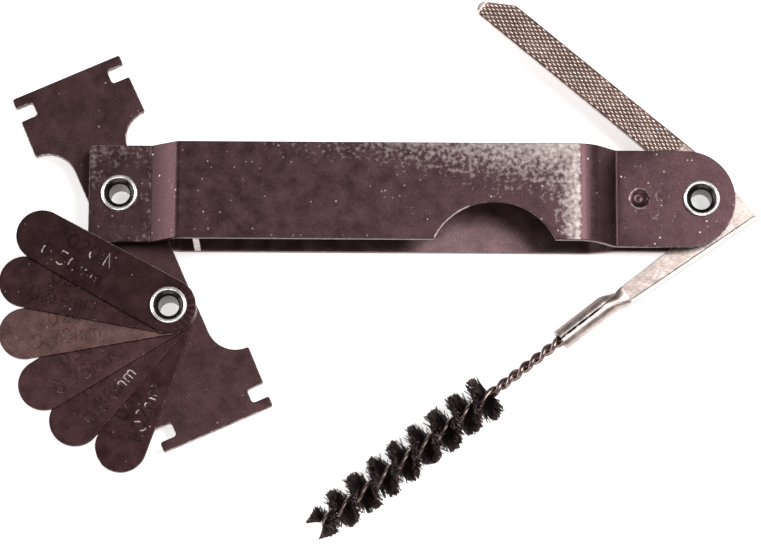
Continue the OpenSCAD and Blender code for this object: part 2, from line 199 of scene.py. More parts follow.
@dataclass
class BentLine:
    """Middle line of a bent sheet, in a plane across its bends.

    Attributes:
        corners: The line's corners before bending, left to right.
        radii: Middle radius of each bend, left to right.
        steps: Chords in each bend.
    """

    corners: list[Point]
    radii: Sequence[float]
    steps: int = 8

    def stations(self) -> list[tuple[float, float, float]]:
        """Places along the line with its bends rounded.

        Returns:
            (x, z, slope in radians) at both ends and at each chord end of each bend.
        """
        points = [Vector(c) for c in self.corners]
        slopes = [math.atan2((b - a).y, (b - a).x) for a, b in zip(points, points[1:])]
        found = [(points[0].x, points[0].y, slopes[0])]
        for corner, a0, a1, bend_r in zip(points[1:-1], slopes, slopes[1:], self.radii):
            tangent = bend_r * math.tan(abs(a1 - a0) / 2)
            start = corner - tangent * Vector((math.cos(a0), math.sin(a0)))
            side = math.copysign(1, a1 - a0) * bend_r
            for k in range(self.steps + 1):
                a = a0 + (a1 - a0) * k / self.steps
                x = start.x + side * (math.sin(a) - math.sin(a0))
                z = start.y + side * (math.cos(a0) - math.cos(a))
                found.append((x, z, a))
        found.append((points[-1].x, points[-1].y, slopes[-1]))
        return found


# ---------------------------------------------------------------- sheet metal


@dataclass
class Sheet:
    """A flat blank with rounded rims that may be bent, dished or toothed as it is placed.

    Attributes:
        outline: Counter-clockwise outline of the blank.
        holes: Clockwise loops cut out of it.
        thickness: Thickness of the sheet.
        edge_r: Radius of its rims.
        folds: x of each fold line, where the mesh gets a row of points.
        creases: Further open lines that get points, as pairs of ends.
        rings: Closed loops that get points inside the blank.
        dots: Single points inside the blank.
    """

    outline: Loop
    thickness: float
    edge_r: float
    holes: list[Loop] = field(default_factory=list)
    folds: list[float] = field(default_factory=list)
    creases: list[tuple[Point, Point]] = field(default_factory=list)
    rings: list[Loop] = field(default_factory=list)
    dots: list[Point] = field(default_factory=list)

    def faces(self) -> tuple[list[Point], list[list[int]]]:
        """Triangles of the blank inside its rims.

        Returns:
            The plane points, and the triangles as counter-clockwise indices into them.
        """
        outer = inset(self.outline, self.edge_r)
        cuts = [inset(h, self.edge_r) for h in self.holes]
        points: Loop = []
        edges = []
        for loop in [outer, *cuts, *self.rings]:
            first = len(points)
            points += loop
            edges += [(first + i, first + (i + 1) % len(loop)) for i in range(len(loop))]
        low = min(y for _, y in outer) - 1
        high = max(y for _, y in outer) + 1
        lines = [((x, low), (x, high)) for x in self.folds] + self.creases
        for a, b in lines:
            edges.append((len(points), len(points) + 1))
            points += [a, b]
        points += self.dots
        result = delaunay_2d_cdt([Vector(p) for p in points], edges, [], 0, 1e-7)
        plane = [(v.x, v.y) for v in result[0]]
        kept = []
        for face in result[2]:
            middle = (
                sum(plane[i][0] for i in face) / len(face),
                sum(plane[i][1] for i in face) / len(face),
            )
            if inside(middle, outer) and not any(inside(middle, c) for c in cuts):
                kept.append(list(face))
        return plane, kept

    def rim_profile(self) -> list[tuple[float, float]]:
        """Steps down the rim as (share of edge_r outwards, height above the bottom face).

        Returns:
            The steps between the top and the bottom face.
        """
        quarter = [math.radians(a) for a in (30, 60, 90)]
        top = [(math.sin(a), self.thickness - self.edge_r * (1 - math.cos(a))) for a in quarter]
        return top + [(s, self.thickness - h) for s, h in reversed(top)]

    def mesh(
        self, place: Placer, wear_and_light: WearAndLightMap | None = None, rim: WearAndLightMap | float = 0.7, under: float = 0.0
    ) -> bmesh.types.BMesh:
        """The finished sheet.

        Args:
            place: Gives the place of (x, y, height above the bottom face).
            wear_and_light: Value of the flat face at a point, for wear, painted highlights and painted
                shade, 0 where left out.
            rim: Value of the rims, for wear and painted highlights, everywhere or at a point.
            under: Wear of the bottom face.

        Returns:
            A closed mesh in millimetres with a "wear" value at each point.
        """
        plane, kept = self.faces()
        bm = bmesh.new()
        layer = bm.verts.layers.float.new(WEAR_AND_LIGHT)
        used = sorted({i for face in kept for i in face})
        tops: dict[int, bmesh.types.BMVert] = {}
        bottoms: dict[int, bmesh.types.BMVert] = {}
        for i in used:
            x, y = plane[i]
            tops[i] = bm.verts.new(place(x, y, self.thickness))
            bottoms[i] = bm.verts.new(place(x, y, 0.0))
            tops[i][layer] = wear_and_light(x, y) if wear_and_light else 0.0
            bottoms[i][layer] = under
        follower = {}
        sides = {(face[k], face[(k + 1) % 3]) for face in kept for k in range(3)}
        for a, b in sides:
            if (b, a) not in sides:
                follower[a] = b
        for face in kept:
            bm.faces.new([tops[i] for i in face])
            bm.faces.new([bottoms[i] for i in reversed(face)])
        profile = self.rim_profile()
        while follower:
            chain = [next(iter(follower))]
            while follower.get(chain[-1]) not in (None, chain[0]):
                chain.append(follower[chain[-1]])
            for i in chain:
                follower.pop(i)
            loop = [plane[i] for i in chain]
            rings = [[tops[i] for i in chain]]
            for share, height in profile:
                moved = inset(loop, -self.edge_r * share)
                ring = [bm.verts.new(place(x, y, height)) for x, y in moved]
                for v, (x, y) in zip(ring, loop):
                    v[layer] = rim if isinstance(rim, float) else rim(x, y)
                rings.append(ring)
            rings.append([bottoms[i] for i in chain])
            for upper, lower in zip(rings, rings[1:]):
                for k in range(len(chain)):
                    n = (k + 1) % len(chain)
                    bm.faces.new([upper[n], upper[k], lower[k], lower[n]])
        return bm


def lathe(profile: Sequence[Ring], centre: Point, steps: int = 72) -> bmesh.types.BMesh:
    """A ring turned from a closed profile.

    Args:
        profile: Closed profile of (radius, z, wear).
        centre: Where its axis stands.
        steps: Chords round the ring.

    Returns:
        A closed mesh in millimetres.
    """
    bm = bmesh.new()
    layer = bm.verts.layers.float.new(WEAR_AND_LIGHT)
    rings = []
    for k in range(steps):
        a = math.tau * k / steps
        ring = []
        for radius, z, wear_and_light in profile:
            v = bm.verts.new((centre[0] + radius * math.cos(a), centre[1] + radius * math.sin(a), z))
            v[layer] = wear_and_light
            ring.append(v)
        rings.append(ring)
    count = len(profile)
    for k, ring in enumerate(rings):
        following = rings[(k + 1) % steps]
        for i in range(count):
            n = (i + 1) % count
            bm.faces.new([ring[i], following[i], following[n], ring[n]])
    bmesh.ops.recalc_face_normals(bm, faces=bm.faces)
    return bm


def tube(
    bm: bmesh.types.BMesh,
    path: Sequence[Vector],
    radii: Sequence[float],
    sides: int,
    wear_and_light: Sequence[float],
) -> None:
    """Adds a round bar with closed ends along a path.

    Args:
        bm: The mesh that takes it, which has a "wear" layer.
        path: Middle line of the bar.
        radii: Radius at each point of the path.
        sides: Flats round the bar.
        wear_and_light: Wear at each point of the path.
    """
    layer = bm.verts.layers.float[WEAR_AND_LIGHT]
    rings = []
    across = None
    for i, point in enumerate(path):
        ahead = (path[min(i + 1, len(path) - 1)] - path[max(i - 1, 0)]).normalized()
        if across is None:
            helper = Vector((0, 0, 1)) if abs(ahead.z) < 0.9 else Vector((1, 0, 0))
            across = ahead.cross(helper).normalized()
        across = (across - ahead * across.dot(ahead)).normalized()
        up = ahead.cross(across)
        ring = []
        for k in range(sides):
            a = math.tau * k / sides
            v = bm.verts.new(point + radii[i] * (math.cos(a) * across + math.sin(a) * up))
            v[layer] = wear_and_light[i]
            ring.append(v)
        rings.append(ring)
    for lower, upper in zip(rings, rings[1:]):
        for k in range(sides):
            n = (k + 1) % sides
            bm.faces.new([lower[k], lower[n], upper[n], upper[k]])
    bm.faces.new(list(reversed(rings[0])))
    bm.faces.new(rings[-1])


def new_mesh() -> bmesh.types.BMesh:
    """An empty mesh with a "wear" layer.

    Returns:
        The mesh.
    """
    bm = bmesh.new()
    bm.verts.layers.float.new(WEAR_AND_LIGHT)
    return bm


def as_object(
    name: str, bm: bmesh.types.BMesh, material: bpy.types.Material, sharp: float = 40.0
) -> bpy.types.Object:
    """Turns a mesh in millimetres into a Blender object in metres.

    Args:
        name: Name of the piece.
        bm: The mesh, which is freed.
        material: Its finish.
        sharp: Edges with a larger angle in degrees stay sharp.

    Returns:
        The object, linked to the scene.
    """
    bmesh.ops.remove_doubles(bm, verts=bm.verts, dist=1e-5)
    bmesh.ops.dissolve_degenerate(bm, edges=bm.edges, dist=1e-6)
    bm.transform(Matrix.Scale(MM, 4))
    mesh = bpy.data.meshes.new(name)
    bm.to_mesh(mesh)
    bm.free()
    mesh.materials.append(material)
    mesh.polygons.foreach_set("use_smooth", [True] * len(mesh.polygons))
    mesh.set_sharp_from_angle(angle=math.radians(sharp))
    made = bpy.data.objects.new(name, mesh)
    bpy.context.scene.collection.objects.link(made)
    return made


def weigh_normals(piece: bpy.types.Object) -> None:
    """Keeps flats flat by giving large faces the say in the shading normals.

    Args:
        piece: The piece, which gets a modifier.
    """
    modifier = piece.modifiers.new("flat_faces", "WEIGHTED_NORMAL")
    modifier.keep_sharp = True
    modifier.weight = 90


def carve(piece: bpy.types.Object, cutter: bmesh.types.BMesh) -> None:
    """Cuts a shape out of a piece for good.

    Args:
        piece: The piece that is cut.
        cutter: Closed shape in millimetres, which is freed.
    """
    cutter.transform(Matrix.Scale(MM, 4))
    mesh = bpy.data.meshes.new("cutter")
    cutter.to_mesh(mesh)
    cutter.free()
    tool = bpy.data.objects.new("cutter", mesh)
    bpy.context.scene.collection.objects.link(tool)
    modifier = piece.modifiers.new("marks", "BOOLEAN")
    modifier.object = tool
    modifier.operation = "DIFFERENCE"
    modifier.solver = "EXACT"
    modifier.use_self = True
    bpy.context.view_layer.update()
    depsgraph = bpy.context.evaluated_depsgraph_get()
    cut = bpy.data.meshes.new_from_object(piece.evaluated_get(depsgraph), depsgraph=depsgraph)
    old = piece.data
    piece.modifiers.clear()
    piece.data = cut
    cut.name = old.name
    bpy.data.meshes.remove(old)
    bpy.data.objects.remove(tool)
    bpy.data.meshes.remove(mesh)


# ---------------------------------------------------------------- finishes

# Parts of the noise patterns' range that the clouds, the grain, and the breaking up of rubbed edges and
# painted highlights use.
CLOUD_RANGE = (0.35, 0.68)
GRAIN_RANGE = (0.3, 0.72)
BREAKUP_AND_ROUGHNESS_RANGE = (0.3, 0.7)
# How far the grain lightens and darkens a skin, and what full grime and painted shade leave of its colour.
GRAIN_SWING = 0.28
GRIME_AND_SHADE_FLOOR = 0.05
# Solid and fading radius of a fleck, as shares of its cell, and how softly flecks are chosen.
FLECK_RADII = (0.07, 0.2)
FLECK_FADE = 0.25
# Size in millimetres of the patches that break up rubbed edges and painted highlights.
BREAKUP_MM = 0.7
# How much smoother and rougher than its finish a skin gets.
SMOOTHER, ROUGHER = 0.06, 0.08


def linear(hex_colour: str) -> Colour:
    """Linear colour of an sRGB hex value such as "#402e2f".

    Args:
        hex_colour: The sRGB value.

    Returns:
        Red, green, blue and an alpha of 1.
    """
    parts = [int(hex_colour[i : i + 2], 16) / 255 for i in (1, 3, 5)]
    made = [p / 12.92 if p <= 0.04045 else ((p + 0.055) / 1.055) ** 2.4 for p in parts]
    return (made[0], made[1], made[2], 1.0)


@dataclass
class Graph:
    """A material's node tree while it is being written.

    Attributes:
        tree: The node tree.
    """

    tree: bpy.types.NodeTree

    @classmethod
    def of(cls, material: bpy.types.Material) -> "Graph":
        """Empties a material's node tree.

        Args:
            material: The material.

        Returns:
            The graph that writes its tree.
        """
        material.use_nodes = True
        material.node_tree.nodes.clear()
        return cls(material.node_tree)

    def add(self, kind: str, inputs: dict | None = None, **settings) -> bpy.types.Node:
        """Adds a node with its settings and links.

        Args:
            kind: Blender's name for the node, without "ShaderNode" in front.
            inputs: A socket to link, or a constant, for each input by name or number.
            **settings: Further properties of the node.

        Returns:
            The new node.
        """
        node = self.tree.nodes.new(f"ShaderNode{kind}")
        for key, value in settings.items():
            setattr(node, key, value)
        for key, value in (inputs or {}).items():
            if isinstance(value, bpy.types.NodeSocket):
                self.tree.links.new(value, node.inputs[key])
            else:
                node.inputs[key].default_value = value
        return node

    def noise(self, place: Socket, size_mm: float, detail: float, roughness: float = 0.5) -> Socket:
        """Noise whose features have a real size in millimetres."""
        inputs = {"Vector": place, "Scale": 1 / (size_mm * MM), "Detail": detail, "Roughness": roughness}
        return self.add("TexNoise", inputs).outputs[0]

    def remap(self, value: Socket, source: Point, target: Point = (0.0, 1.0)) -> Socket:
        """A value moved from one range to another and held inside it."""
        inputs = {"Value": value, "From Min": source[0], "From Max": source[1]}
        inputs |= {"To Min": target[0], "To Max": target[1]}
        return self.add("MapRange", inputs).outputs[0]

    def maths(self, operation: str, first: Socket, second: Socket, clamp: bool = False) -> Socket:
        """The result of an operation on two values."""
        return self.add("Math", {0: first, 1: second}, operation=operation, use_clamp=clamp).outputs[0]

    def mix(self, share: Socket, low: Socket | Colour, high: Socket | Colour) -> Socket:
        """Two colours mixed by a share."""
        return self.add("Mix", {0: share, 6: low, 7: high}, data_type="RGBA").outputs[2]


@dataclass(frozen=True)
class SteelFinish:
    """A steel surface with a mottled skin, fine grain, pale flecks, worn edges, painted highlights and
    painted shade.

    Attributes:
        name: Name of the material.
        tone: Colour of the skin.
        shade: Colour of its darker clouds.
        bare: Colour of bright steel where the skin is worn through, also used for painted highlights.
        roughness: Roughness of the skin.
        grain_mm: Size of the fine grain.
        cloud_mm: Size of the clouds.
        fleck_mm: Spacing of the pale flecks.
        fleck_share: How many of the flecks show, from 0 to 1.
        metallic: How far the surface mirrors as a metal.
        streak: Stretch of the grain along X, for rolled or brushed skins.
        relief_mm: Height of the grain.
        edge_and_highlight_break: How far noise breaks up the worn edges and painted highlights.
    """

    name: str
    tone: str
    shade: str
    bare: str
    roughness: float = 0.38
    grain_mm: float = 0.22
    cloud_mm: float = 2.6
    fleck_mm: float = 0.9
    fleck_share: float = 0.3
    metallic: float = 1.0
    streak: float = 1.0
    relief_mm: float = 0.006
    edge_and_highlight_break: float = 0.6

    def material(self) -> bpy.types.Material:
        """Writes the finish as a node material.

        Returns:
            The new material.
        """
        made = bpy.data.materials.new(self.name)
        graph = Graph.of(made)
        place = graph.add("TexCoord").outputs["Object"]
        along = graph.add("Mapping", {"Vector": place, "Scale": (1 / self.streak, 1, 1)}).outputs[0]
        grain = graph.noise(along, self.grain_mm, 3.0, 0.6)
        cloud = graph.noise(place, self.cloud_mm, 4.0, 0.65)
        wear_and_light_fac = graph.add("Attribute", attribute_name=WEAR_AND_LIGHT).outputs["Fac"]

        skin = graph.mix(graph.remap(cloud, CLOUD_RANGE), linear(self.shade), linear(self.tone))
        # Negative values darken the skin: grime, and painted shade in creases, eyelet throats and file
        # cuts.
        grime_and_shade = graph.remap(wear_and_light_fac, (-1.0, 0.0), (GRIME_AND_SHADE_FLOOR, 1.0))
        grains = graph.remap(grain, GRAIN_RANGE, (1 - GRAIN_SWING, 1 + GRAIN_SWING))
        level = graph.maths("MULTIPLY", grains, grime_and_shade)
        grained = graph.add("VectorMath", {0: skin, 3: level}, operation="SCALE").outputs[0]

        cells = {"Vector": place, "Scale": 1 / (self.fleck_mm * MM), "Randomness": 1.0}
        fleck = graph.add("TexVoronoi", cells)
        spot = graph.remap(fleck.outputs["Distance"], FLECK_RADII, (1.0, 0.0))
        chosen_from = 1 - self.fleck_share
        chosen = graph.remap(fleck.outputs["Color"], (chosen_from, chosen_from + FLECK_FADE))
        flecks = graph.maths("MULTIPLY", spot, chosen)
        # Positive values mix in the bare colour: rubbed steel, and painted highlights on crests and rims.
        broken = graph.remap(graph.noise(place, BREAKUP_MM, 2.0), BREAKUP_AND_ROUGHNESS_RANGE, (-self.edge_and_highlight_break, 0.0))
        edge = graph.maths("ADD", wear_and_light_fac, broken, clamp=True)
        colour = graph.mix(graph.maths("MAXIMUM", edge, flecks), grained, linear(self.bare))

        rough = graph.remap(cloud, BREAKUP_AND_ROUGHNESS_RANGE, (self.roughness - SMOOTHER, self.roughness + ROUGHER))
        bump = graph.add("Bump", {"Height": grain, "Distance": self.relief_mm * MM, "Strength": 1.0})
        surface = {"Base Color": colour, "Metallic": self.metallic, "Roughness": rough}
        surface["Normal"] = bump.outputs[0]
        shader = graph.add("BsdfPrincipled", surface)
        graph.add("OutputMaterial", {"Surface": shader.outputs[0]})
        return made


class Finish(Enum):
    """The finishes of the tool's pieces."""

    # Cold-rolled strip, tumbled and chemically blacked: a thin brown-black oxide that still
    # mirrors softly, with pale specks where grit broke it, bright rubbed edges and painted highlights.
    CASE = SteelFinish("blacked_case_steel", "#594346", "#4c383b", "#d6cac4", fleck_share=0.35)
    # The back plate's copy of the case steel, painted lighter: painted light on its inner face, which shows
    # through the notch and below the front plate.
    CASE_BACK_PAINTED_LIGHTER = SteelFinish("blacked_back_steel_painted_lighter", "#846b6d", "#725b5d", "#cfc2bc", fleck_share=0.15)
    # Punched spring plate, blacked in the same bath but duller.
    GAUGE = SteelFinish(
        "blacked_gauge_steel", "#594143", "#4c3839", "#d8cbc5", roughness=0.42, fleck_share=0.25
    )
    # Bright zinc plate over brass, rolled: a smooth light ring with soft highlights.
    EYELET = SteelFinish(
        "plated_eyelet",
        "#a3968f",
        "#84766f",
        "#ffffff",
        roughness=0.3,
        fleck_share=0.0,
        grain_mm=0.5,
        relief_mm=0.002,
        edge_and_highlight_break=0.05,
    )
    # Plain turned steel, hidden between the plates.
    WASHER = SteelFinish(
        "plain_washer_steel", "#a3968f", "#8a7e78", "#d6ccc6", roughness=0.4, fleck_share=0.1
    )
    # Hardened file steel, cross cut and left bright: crests painted bright as glints, cuts painted dark as
    # shade.
    FILE = SteelFinish(
        "cut_file_steel",
        "#a08a82",
        "#84706a",
        "#fff0e8",
        roughness=0.33,
        fleck_mm=0.6,
        fleck_share=0.3,
        edge_and_highlight_break=0.5,
    )
    # Bright-annealed sheet, bent and rolled cold, with faint scuffs along it.
    HOLDER = SteelFinish(
        "rolled_holder_steel",
        "#c3b5ae",
        "#a39590",
        "#fbf6f2",
        roughness=0.36,
        fleck_share=0.2,
        streak=3.0,
        cloud_mm=1.8,
    )
    # Drawn and twisted stem wire, oiled dark.
    STEM = SteelFinish(
        "twisted_stem_wire", "#8c7973", "#63524e", "#efe6e0", roughness=0.27, fleck_share=0.1
    )
    # Fine tempered brush wire, nearly black, with light cut ends.
    BRISTLE = SteelFinish(
        "brush_wire", "#38292a", "#241a1b", "#7d6a68", roughness=0.42, fleck_share=0.0, metallic=0.7
    )

    def material(self) -> bpy.types.Material:
        """The finish's material, made once."""
        return bpy.data.materials.get(self.value.name) or self.value.material()


# Leaf skins, from the top of the pack down, differing in lightness from leaf to leaf.
LEAF_TONES = (
    ("#443031", "#3a2728"),
    ("#4e3738", "#442e2f"),
    ("#7a5e5b", "#6c5250"),
    ("#5e4344", "#523a3b"),
    ("#553c3d", "#4a3334"),
    ("#4d3536", "#402b2c"),
)


# ---------------------------------------------------------------- the tool


def settle(piece: bpy.types.Object, body: str, nodes: Sequence[str]) -> bpy.types.Object:
    """Lets a finished piece ride on its body in place of its CAD nodes.

    Args:
        piece: The finished piece.
        body: The CAD body that it moves with.
        nodes: The CAD nodes that it stands for.

    Returns:
        The same piece.
    """
    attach(piece, body)
    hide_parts(*nodes)
    LOG.info("%s rides on %s and stands for %s", piece.name, body, ", ".join(nodes))
    return piece


def mount_place(frame: dict, name: str) -> Point:
    """Place of a mount in millimetres, seen from above.

    Args:
        name: Name of the mount.

    Returns:
        Its x and y.
    """
    for mount in frame["record"]["mounts"]:
        if mount["name"] == name:
            return (mount["pos_m"][0] / MM, mount["pos_m"][1] / MM)
    raise KeyError(name)


def levels(node: str) -> tuple[float, float]:
    """Lowest and highest z of a CAD node in millimetres."""
    low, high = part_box(node)
    return low.z / MM, high.z / MM


@dataclass
class Layout:
    """Places and sizes that the pieces share, the places read from the frame.

    Attributes:
        heel: Pivot at the square end.
        nose: Pivot at the round end.
        leaf_pivot: Pivot of the leaves.
        half_w: Half width of the case.
        x0: Left end of the case.
        x1: Right end of the case.
        case_sheet: Thickness of both case plates.
        bead_d: Thickness of an eyelet's rolled bead.
        play: Gap between pieces that slide past each other.
        barrel_r: Outer radius of an eyelet's barrel.
        turning_r: Radius of a hole that turns on a barrel.
    """

    heel: Point
    nose: Point
    leaf_pivot: Point
    half_w: float
    x0: float
    x1: float
    case_sheet: float = 0.9
    bead_d: float = 0.6
    play: float = 0.05
    barrel_r: float = 1.95
    turning_r: float = 2.0

    @classmethod
    def from_frame(cls, frame: dict) -> "Layout":
        """Reads the pivots from the mounts and the outline from the front plate's box.


        Returns:
            The layout.
        """
        low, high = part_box("front_plate")
        return cls(
            heel=mount_place(frame, "gauge_pivot_hole"),
            nose=mount_place(frame, "tool_pivot_hole"),
            leaf_pivot=mount_place(frame, "leaf_pivot_hole"),
            half_w=high.y / MM,
            x0=low.x / MM,
            x1=high.x / MM,
        )


@dataclass
class Case:
    """The two joggled plates."""

    layout: Layout
    heel_flat: float = 5.2
    heel_ramp: float = 4.1
    nose_flat: float = 13.7
    nose_ramp: float = 4.0
    bend_r: float = 1.1
    nose_crest_r: float = 4.5
    corner_r: float = 1.0
    edge_r: float = 0.14
    notch_back: float = 32.8
    notch_r: float = 10.5
    notch_depth: float = 6.1
    dimple_back: float = 9.8
    dimple_r: float = 1.6
    dimple_depth: float = 0.42
    lug_from_pivot: float = 11.7
    lug_l: float = 1.0
    lug_bend_r: float = 0.35
    lug_root: float = 2.4

    def outline(self, notch: bool) -> Loop:
        """Counter-clockwise outline of a plate, with the finger notch if asked for.

        Args:
            notch: Whether the plate has the finger notch.

        Returns:
            The outline.
        """
        place = self.layout
        w, r = place.half_w, self.corner_r
        loop = arc((place.x0 + r, w - r), r, 90, 180, 8)
        loop += arc((place.x0 + r, -w + r), r, 180, 270, 8)
        if notch:
            centre = (place.nose[0] - self.notch_back, -w + self.notch_depth - self.notch_r)
            half = math.degrees(math.acos((-w - centre[1]) / self.notch_r))
            loop += arc(centre, self.notch_r, 90 + half, 90 - half, 56)
        loop += arc((place.x1 - w, 0), w, -90, 90, 64)
        return loop

    def line(self, heel_z: float, middle_z: float, nose_z: float) -> BentLine:
        """Middle line of a plate from its three levels.

        Args:
            heel_z: Middle height at the square end.
            middle_z: Middle height between the ramps.
            nose_z: Middle height at the round end.

        Returns:
            The line, which runs past both ends of the plate.
        """
        place = self.layout
        left, right = place.heel[0] + self.heel_flat, place.nose[0] - self.nose_flat
        return BentLine(
            [
                (place.x0 - 1, heel_z),
                (left, heel_z),
                (left + self.heel_ramp, middle_z),
                (right - self.nose_ramp, middle_z),
                (right, nose_z),
                (place.x1 + 1, nose_z),
            ],
            (self.bend_r, self.bend_r, self.nose_crest_r, self.bend_r),
        )

    def placer(self, line: BentLine, dish: Callable[[float, float], float]) -> Placer:
        """Placer that bends the blank along a line and pushes it down by dish.

        Args:
            line: The plate's middle line.
            dish: Depth of the dimple at a point.

        Returns:
            The placer.
        """
        stations = line.stations()

        def place(x: float, y: float, height: float) -> Vector:
            """Place of a point of the blank.

            Args:
                x: Place along the case.
                y: Place across it.
                height: Height above the bottom face.

            Returns:
                The place on the bent plate.
            """
            k = max(1, next((i for i, s in enumerate(stations) if s[0] >= x), len(stations) - 1))
            (xa, za, aa), (xb, zb, ab) = stations[k - 1], stations[k]
            share = (x - xa) / (xb - xa)
            z, slope = za + (zb - za) * share, aa + (ab - aa) * share
            off = height - self.layout.case_sheet / 2
            return Vector((x - math.sin(slope) * off, y, z + math.cos(slope) * off - dish(x, y)))

        return place

    def eyelet_holes(self) -> list[Loop]:
        """The holes for both eyelets."""
        place = self.layout
        return [round_hole(p, place.barrel_r) for p in (place.heel, place.nose)]

    def front(self) -> bpy.types.Object:
        """The front plate, with the finger notch and the detent dimple.

        Returns:
            The finished piece, standing for its CAD node.
        """
        place = self.layout
        line = self.line(
            levels("disc_spring")[1] + place.case_sheet / 2,
            levels("front_plate")[1] - place.case_sheet / 2,
            levels("tool_pivot_eyelet")[1] - place.bead_d - place.case_sheet / 2,
        )
        pip = (place.nose[0] - self.dimple_back, 0.0)

        def dish(x: float, y: float) -> float:
            """Depth of the dimple, a bowl with a small crown in its floor.

            Args:
                x: Place along the case.
                y: Place across it.

            Returns:
                The depth.
            """
            r = math.hypot(x - pip[0], y - pip[1]) / self.dimple_r
            if r >= 1:
                return 0.0
            return self.dimple_depth * (1 - smooth((r - 0.35) / 0.65)) - 0.12 * smooth(1 - r / 0.3)

        foot = place.heel[0] + self.heel_flat
        crest = foot + self.heel_ramp
        toe = place.nose[0] - self.nose_flat
        drop = toe - self.nose_ramp
        notch_x = place.nose[0] - self.notch_back
        # Strength, middle and half width of the lines across the plate with painted highlights, the right
        # crest's line also rubbed, and with painted shade.
        painted_highlight_lines = (
            (0.55, foot - 0.25, 0.16),
            (0.16, crest - 0.3, 0.3),
            (0.95, drop - 1.95, 0.34),
            (0.35, toe + 1.6, 0.5),
        )
        painted_shade_lines = ((0.5, drop - 0.55, 0.6), (0.6, toe + 0.35, 0.35))

        def band(x: float, middle: float, half: float) -> float:
            """1 on a line, falling off to both sides of it."""
            return math.exp(-(((x - middle) / half) ** 2))

        def wear_and_light(x: float, y: float) -> float:
            """Painted highlights on crests, creases, the dimple's lip and the upper left corner, and
            painted shade along the creases.

            Args:
                x: Place along the case.
                y: Place across it.

            Returns:
                The wear value, negative where painted shade has the upper hand.
            """
            ring = math.hypot(x - pip[0], y - pip[1])
            corner = 0.5 * smooth((place.x0 + 2.6 - x) / 2) * smooth((y - place.half_w + 3.4) / 2)
            lines = [strength * band(x, middle, half) for strength, middle, half in painted_highlight_lines]
            painted_highlight = max(*lines, 0.5 * band(ring, self.dimple_r, 0.16), corner)
            # The lower part of the left ramp is painted dark as a crease shadow.
            crease_shadow = 0.5 * smooth((x - foot + 0.1) / 0.2) * smooth((foot + 1.35 - x) / 0.2)
            painted_shade = max(crease_shadow, *(strength * band(x, middle, half) for strength, middle, half in painted_shade_lines))
            return painted_highlight if painted_highlight > painted_shade else -painted_shade

        def rim(x: float, y: float) -> float:
            """Value of the cut edge, with painted highlights on the notch's left side, the heel's upper
            edge and round the nose.

            Args:
                x: Place along the case.
                y: Place across it.

            Returns:
                The wear value.
            """
            if -place.half_w + 0.3 < y < 0 and notch_x - self.notch_r < x < notch_x - 4.2:
                return 1.0
            if y > place.half_w - 0.5 and x < foot - 1:
                return 0.9
            return 0.5 if x > place.nose[0] - 4 else 0.22

        sheet = Sheet(
            self.outline(notch=True),
            place.case_sheet,
            self.edge_r,
            holes=self.eyelet_holes(),
            folds=[s[0] for s in line.stations()[1:-1]],
            rings=[arc(pip, self.dimple_r * k / 9, 0, 350, 35) for k in range(1, 11)],
        )
        bm = sheet.mesh(self.placer(line, dish), wear_and_light, rim)
        made = as_object("front_plate_shell", bm, Finish.CASE.material())
        weigh_normals(made)
        return settle(made, "case", ["front_plate"])

    def back(self) -> bpy.types.Object:
        """The back plate, with the stop lug bent up from its edge.

        Returns:
            The finished piece, standing for its CAD node.
        """
        place = self.layout
        line = self.line(
            levels("friction_washer")[0] - place.case_sheet / 2,
            place.case_sheet / 2,
            levels("tool_pivot_eyelet")[0] + place.bead_d + place.case_sheet / 2,
        )
        sheet = Sheet(
            self.outline(notch=False),
            place.case_sheet,
            self.edge_r,
            holes=self.eyelet_holes(),
            folds=[s[0] for s in line.stations()[1:-1]],
        )
        bm = sheet.mesh(self.placer(line, lambda x, y: 0.0), None, 0.2)
        lug_top = levels("back_plate")[1]
        t, w = place.case_sheet, place.half_w
        bend = self.lug_bend_r
        profile = [(-w + t, lug_top), (-w + 0.12, lug_top), (-w, lug_top - 0.12)]
        profile += arc((-w + bend + t, bend + t), bend + t, 180, 270, 10)
        profile += [(-w + self.lug_root, 0.0), (-w + self.lug_root, t)]
        profile += arc((-w + bend + t, bend + t), bend, 270, 180, 8)
        lug = Sheet(profile, self.lug_l, 0.12)
        x = place.heel[0] + self.lug_from_pivot
        # The whole lug is painted bright, a painted highlight where its bend and face catch the light.
        part = lug.mesh(lambda u, v, h: Vector((x + h, u, v)), lambda u, v: 0.75, 1.0)
        holder = bpy.data.meshes.new("lug")
        part.to_mesh(holder)
        part.free()
        bm.from_mesh(holder)
        bpy.data.meshes.remove(holder)
        made = as_object("back_plate_shell", bm, Finish.CASE_BACK_PAINTED_LIGHTER.material())
        weigh_normals(made)
        return settle(made, "case", ["back_plate"])


